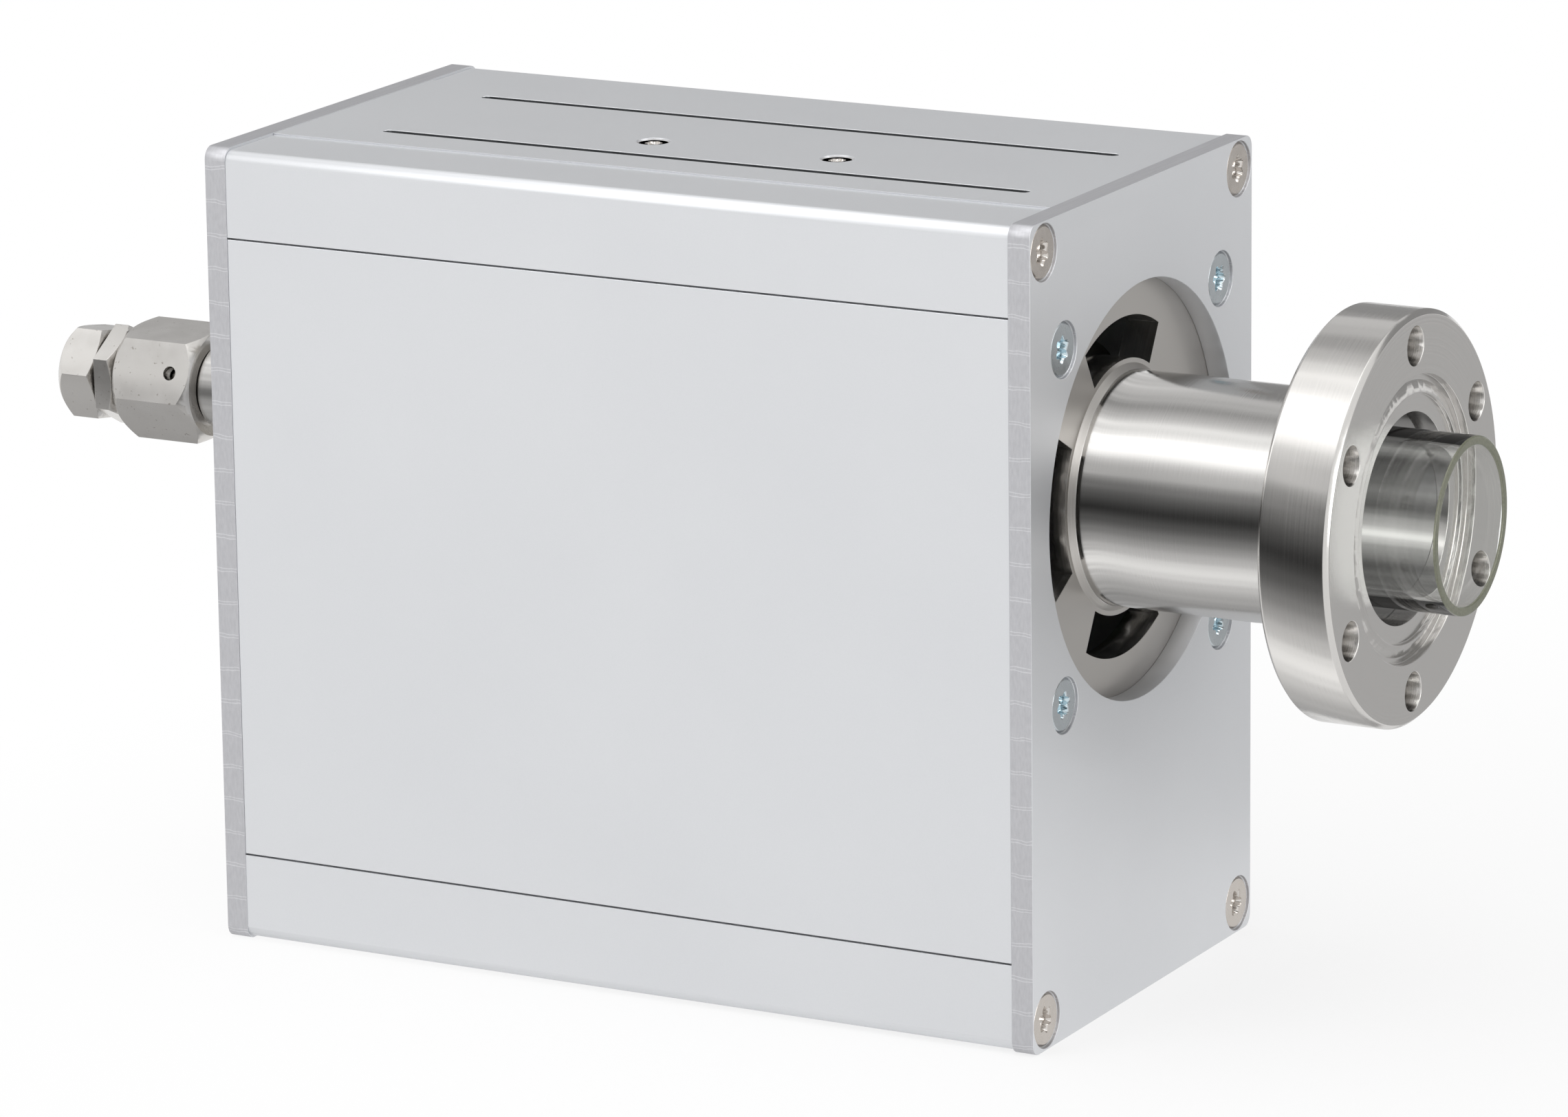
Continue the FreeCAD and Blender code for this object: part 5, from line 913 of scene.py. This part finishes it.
def flat_screw(head, shank, length, recess):
    """A countersunk screw along +X from x = 0, by its radii and length in metres. Its rows
    are the recess's floor and wall, the face, the rolled rim, the cone, the shank and tip."""
    depth = recess * RECESS_DEPTH
    edge = head * RIM_SHARE
    rows = [
        (depth, 0.0, 0), (depth, recess * 0.5, 0), (depth * 0.9, recess * 0.86, 1),
        (recess * 0.06, recess, 1), (0.0, recess * 1.05, 1),
        (0.0, recess * 1.25, 0), (0.0, head - edge * 3.2, 0), (edge * 1.6, head - edge, 0),
        (edge * 4, head, 0), (edge * 6, head, 0), (edge * 6 + head - shank, shank, 0),
        (length - shank * 0.3, shank, 0), (length, shank * 0.7, 0), (length, 0.0, 0),
    ]
    return star_rows(rows)


def round_screw(head, shank, length, recess, height):
    """A dome-headed screw along +X: its dome is the ellipse (-height cos t, head sin t), for
    t from the recess to the rim, and its rows follow each other as the flat screw's do."""
    dome = [(-height * math.cos(turn), head * math.sin(turn), 0) for turn in DOME_TURNS]
    top = dome[0][0]
    rows = [
        (top + recess * 0.8, 0.0, 1), (top + recess * 0.7, recess * 0.8, 1),
        (top + recess * 0.06, recess * 0.97, 1), (top - height * 0.02, recess * 1.03, 1),
        *dome, (0.0, head, 0), (0.0, shank, 0), (length - shank * 0.3, shank, 0),
        (length, shank * 0.7, 0), (length, 0.0, 0),
    ]
    return star_rows(rows)


print("screw steels and profiles ready")

# %% [markdown]
# A node of the frame holds a whole set of screws, so one piece stands in for each set. The
# places of the screws follow from the node's box: they sit a head's radius in from its
# corners. A fitter never leaves two recesses at the same angle, so each screw is spun by a
# random turn, from a generator whose seed is the length of the node's name.

# %% Placing the screws


def placed(points, centre, inwards, spin):
    """Points whose local X is turned to the direction inwards, spun about it and moved."""
    turned = Vector(inwards).to_track_quat("X", "Z").to_matrix()
    turned = turned @ Matrix.Rotation(spin, 3, "X")
    return points @ np.array(turned).T + np.asarray(centre)


def make_screws(node, screw, centres, inwards, steels):
    """One piece that holds all the screws of a frame node, each turned by its own angle.
    steels are the materials of the head and of the recess, the first rows of the grid."""
    turns = np.random.default_rng(len(node)).uniform(0, math.pi / 3, len(centres))
    rows, columns = screw.shape[:2]
    points = [placed(screw, centre, inwards, turn) for centre, turn in zip(centres, turns)]
    quads = [ring_faces(rows, columns, number * rows * columns) for number in range(len(points))]
    in_recess = np.tile(np.arange((rows - 1) * columns) < RECESS_ROWS * columns, len(points))
    piece = put_mesh("drilled_" + node, np.concatenate(points), np.concatenate(quads),
                     smooth_angle=30, material_numbers=in_recess.astype(int))
    for material in steels:
        piece.data.materials.append(material)
    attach(piece, "housing")
    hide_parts(node)


def corners_along_x(node, face, head):
    """Centres of four screws that point along X, from the node's box."""
    low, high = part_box(node)
    sides, heights = (low.y + head, high.y - head), (low.z + head, high.z - head)
    return [(face, y, z) for y in sides for z in heights]


def corners_along_z(node, face, head):
    """Centres of the screws that point along Z; a row of two gives each place once."""
    low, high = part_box(node)
    places = {(round(x, 6), round(y, 6), face) for x in (low.x + head, high.x - head)
              for y in (low.y + head, high.y - head)}
    return sorted(places)


print("screws are placed by their node's box")

# %% [markdown]
# Each end plate has four large countersunk screws, and four zinc-plated ones behind the
# round opening hold the nipple's support. The top has two small ones and the bottom four.
# The sign beside a set's name tells which way it points along its axis, and its heads lie
# at the other end of its box.

# %% Screws of the box
PLATE_HEAD, PLATE_SHANK, PLATE_RECESS = 0.0048, 0.0025, 0.00235
SMALL_HEAD, SMALL_SHANK, SMALL_RECESS = 0.0029, 0.0015, 0.00145
PLATE_SCREWS = {
    "flange_corner_screws": (-1, STAINLESS, "corner_screw_steel"),
    "gas_corner_screws": (1, STAINLESS, "corner_screw_steel"),
    "support_flange_screws": (-1, ZINC, "zinc_plated_steel"),
}
SHELL_SCREWS = {"top_screws": -1, "bottom_screws": 1}

for node, (inwards, steels, slot) in PLATE_SCREWS.items():
    low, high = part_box(node)
    face = high.x if inwards < 0 else low.x
    screw = flat_screw(PLATE_HEAD, PLATE_SHANK, high.x - low.x, PLATE_RECESS)
    make_screws(node, screw, corners_along_x(node, face, PLATE_HEAD), (inwards, 0, 0), steels)
for node, inwards in SHELL_SCREWS.items():
    low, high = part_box(node)
    face = high.z if inwards < 0 else low.z
    screw = flat_screw(SMALL_HEAD, SMALL_SHANK, high.z - low.z, SMALL_RECESS)
    make_screws(node, screw, corners_along_z(node, face, SMALL_HEAD), (0, 0, inwards),
                STAINLESS)
print(len(PLATE_SCREWS) + len(SHELL_SCREWS), "sets of countersunk screws")

# %% [markdown]
# The gas plate is seen only from behind. Its cap is held by three small countersunk screws
# on a circle, and the fan and the jack by four dome-headed ones each.

# %% Screws of the gas plate
DOME_HEAD, DOME_HEIGHT = 0.0028, 0.002
CAP_TURNS = [math.radians(30 + 120 * step) for step in range(3)]

low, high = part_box("rear_cap_screws")
circle = -low.z - SMALL_HEAD
cap_centres = [(low.x, circle * math.cos(turn), circle * math.sin(turn)) for turn in CAP_TURNS]
cap_screw = flat_screw(SMALL_HEAD, SMALL_SHANK, high.x - low.x, SMALL_RECESS)
make_screws("rear_cap_screws", cap_screw, cap_centres, (1, 0, 0), STAINLESS)
for node in ("fan_screws", "rf_jack_screws"):
    low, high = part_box(node)
    seat = low.x + DOME_HEIGHT
    dome_screw = round_screw(DOME_HEAD, SMALL_SHANK, high.x - seat, SMALL_RECESS, DOME_HEIGHT)
    make_screws(node, dome_screw, corners_along_x(node, seat, DOME_HEAD), (1, 0, 0),
                STAINLESS)
print("gas plate screws made")

# %% [markdown]
# Glass shows its shape only by its edges and by what it bends, so the quartz tube needs a
# smooth wall and a soft rim. The end that stands out of the flange is ground: its scratches
# scatter light, so its rim shows as a dull ring in the dark green-grey of a thick wall that
# is seen edge on.

# %% Quartz tube
RIM_ROUND, RIM_STEPS = 0.00035, 5
QUARTZ_WALL, QUARTZ_COLUMNS = 0.0016, 160
GROUND_RIM, GROUND_RIM_LIGHT, RIM_CLEARNESS = (0.17, 0.175, 0.12), (0.3, 0.31, 0.22), 0.4


def make_quartz():
    """Outer and inner wall and two rims, rounded, as one closed surface of revolution."""
    low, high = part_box("quartz_tube")
    outer = high.z
    inner = outer - QUARTZ_WALL
    middle = (outer + inner) / 2
    corners = [(low.x, middle), (low.x, outer), (high.x, outer), (high.x, inner),
               (low.x, inner), (low.x, middle)]
    profile = rounded(corners, RIM_ROUND, RIM_STEPS)
    points = turned_points(profile, QUARTZ_COLUMNS)
    first, second = profile[:-1, 0], profile[1:, 0]
    at_rim = (np.minimum(first, second) > high.x - RIM_ROUND * 1.01).astype(int)
    quads = ring_faces(len(profile), QUARTZ_COLUMNS)
    piece = put_mesh("clear_quartz_tube", points, quads, smooth_angle=50,
                     material_numbers=np.repeat(at_rim, QUARTZ_COLUMNS))
    piece.data.materials.append(clear_quartz())
    rim = speckled("ground_rim", GROUND_RIM, GROUND_RIM_LIGHT, 0.0, 0.2, 2600, 4e-6)
    clearness = rim.node_tree.nodes["Principled BSDF"].inputs["Transmission Weight"]
    clearness.default_value = RIM_CLEARNESS
    piece.data.materials.append(rim)
    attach(piece, "housing")
    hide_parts("quartz_tube")
    return piece


quartz = make_quartz()
print("quartz tube of", len(quartz.data.polygons), "faces")

# %% [markdown]
# A jack's barrel is threaded. A thread is the surface r(x, t) = R + h w(x / p - t / 2 pi),
# where w is a wave of period 1 that rises and falls in straight lines: a ridge that climbs
# by the pitch p with each turn. Its valleys lie just inside the plain barrel and its crests
# stand just outside.

# %% Thread of the jack
THREAD_PITCH, THREAD_TURNS, THREAD_HALF_HEIGHT = 0.00106, 12, 0.00022
THREAD_LIFT, THREAD_SINK = 5e-5, 1e-4
ROWS_PER_TURN, THREAD_COLUMNS = 8, 96
BARREL_RADIUS, THREAD_START = 0.00795, 0.0009


def make_thread():
    """r = R + h (4 |f - 1/2| - 1) with f the fraction of x / p - t / 2 pi. Over the first
    and the last turn the thread fades into the barrel."""
    low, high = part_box("rf_jack")
    across, up = (low.y + high.y) / 2, (low.z + high.z) / 2
    along = np.linspace(0, THREAD_TURNS, THREAD_TURNS * ROWS_PER_TURN + 1)[:, None]
    turn = np.linspace(0, 2 * np.pi, THREAD_COLUMNS, endpoint=False)[None, :]
    part = (along - turn / (2 * np.pi)) % 1.0
    ridge = THREAD_HALF_HEIGHT * (4 * np.abs(part - 0.5) - 1) + THREAD_LIFT
    fade = np.minimum(1.0, np.minimum(along, THREAD_TURNS - along))
    radius = BARREL_RADIUS + fade * ridge - (1 - fade) * THREAD_SINK
    x = low.x + THREAD_START + along * THREAD_PITCH
    points = around(x, radius, turn) + (0, across, up)
    quads = ring_faces(len(along), THREAD_COLUMNS)
    piece = put_mesh("jack_thread", points, quads, smooth_angle=40)
    piece.data.materials.append(coats["nickel_plate"])
    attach(piece, "housing")
    return piece


thread = make_thread()
print("jack thread of", len(thread.data.polygons), "faces")

# %% [markdown]
# The control connector is a nine-way one. Its moulded face is a thin D-shaped block, inset
# from the metal shell, and its gilded contacts are small rings in a row of five and a row
# of four.

# %% Contacts of the connector
SHELL_HALF_WIDTH, SHELL_HALF_HEIGHT, SHELL_TAPER = 0.00845, 0.00415, 0.0012
FACE_INSET, FACE_PROUD, RING_PROUD = 0.0006, 0.00015, 0.0003
CONTACT_PITCH, ROW_GAP, RING_OUTER, RING_INNER = 0.00276, 0.00284, 0.00075, 0.00045
RING_COLUMNS, LONG_ROW, SHORT_ROW = 24, 5, 4
GILDED_DARK, GILDED_LIGHT = (0.80, 0.56, 0.22), (0.90, 0.68, 0.32)


def make_face(low, across, up):
    """A block between two equal D outlines, narrow below and wide above."""
    wide, tall = SHELL_HALF_WIDTH - FACE_INSET, SHELL_HALF_HEIGHT - FACE_INSET
    narrow = wide - SHELL_TAPER
    outline = [(-narrow, -tall), (narrow, -tall), (wide, tall), (-wide, tall)]
    points = np.array([[(x, across + y, up + z) for y, z in outline]
                       for x in (low.x - FACE_PROUD, low.x + FACE_PROUD)])
    quads = np.concatenate([ring_faces(2, 4), [(0, 1, 2, 3)], [(4, 5, 6, 7)]])
    piece = put_mesh("connector_face", points, quads, smooth_angle=20)
    piece.data.materials.append(coats["component_black"])
    return piece


def make_contacts(low, across, up):
    """Nine rings, each a lathe surface of four corners, moved to its place."""
    profile = [(low.x + FACE_PROUD, RING_OUTER), (low.x - RING_PROUD, RING_OUTER),
               (low.x - RING_PROUD, RING_INNER), (low.x + FACE_PROUD, RING_INNER)]
    ring = turned_points(profile, RING_COLUMNS)
    places = [(step - (count - 1) / 2, height)
              for count, height in ((LONG_ROW, ROW_GAP / 2), (SHORT_ROW, -ROW_GAP / 2))
              for step in range(count)]
    points = [ring + (0, across + step * CONTACT_PITCH, up + height) for step, height in places]
    quads = [ring_faces(len(profile), RING_COLUMNS, number * len(profile) * RING_COLUMNS)
             for number in range(len(places))]
    piece = put_mesh("connector_contacts", np.concatenate(points), np.concatenate(quads),
                     smooth_angle=30)
    piece.data.materials.append(speckled("gilded_contact", GILDED_DARK, GILDED_LIGHT, 1.0,
                                         0.22, 1200, 3e-6))
    return piece


low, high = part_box("control_connector")
connector = (low, (low.y + high.y) / 2, (low.z + high.z) / 2)
for piece in (make_face(*connector), make_contacts(*connector)):
    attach(piece, "housing")
print("connector face and", LONG_ROW + SHORT_ROW, "contacts")
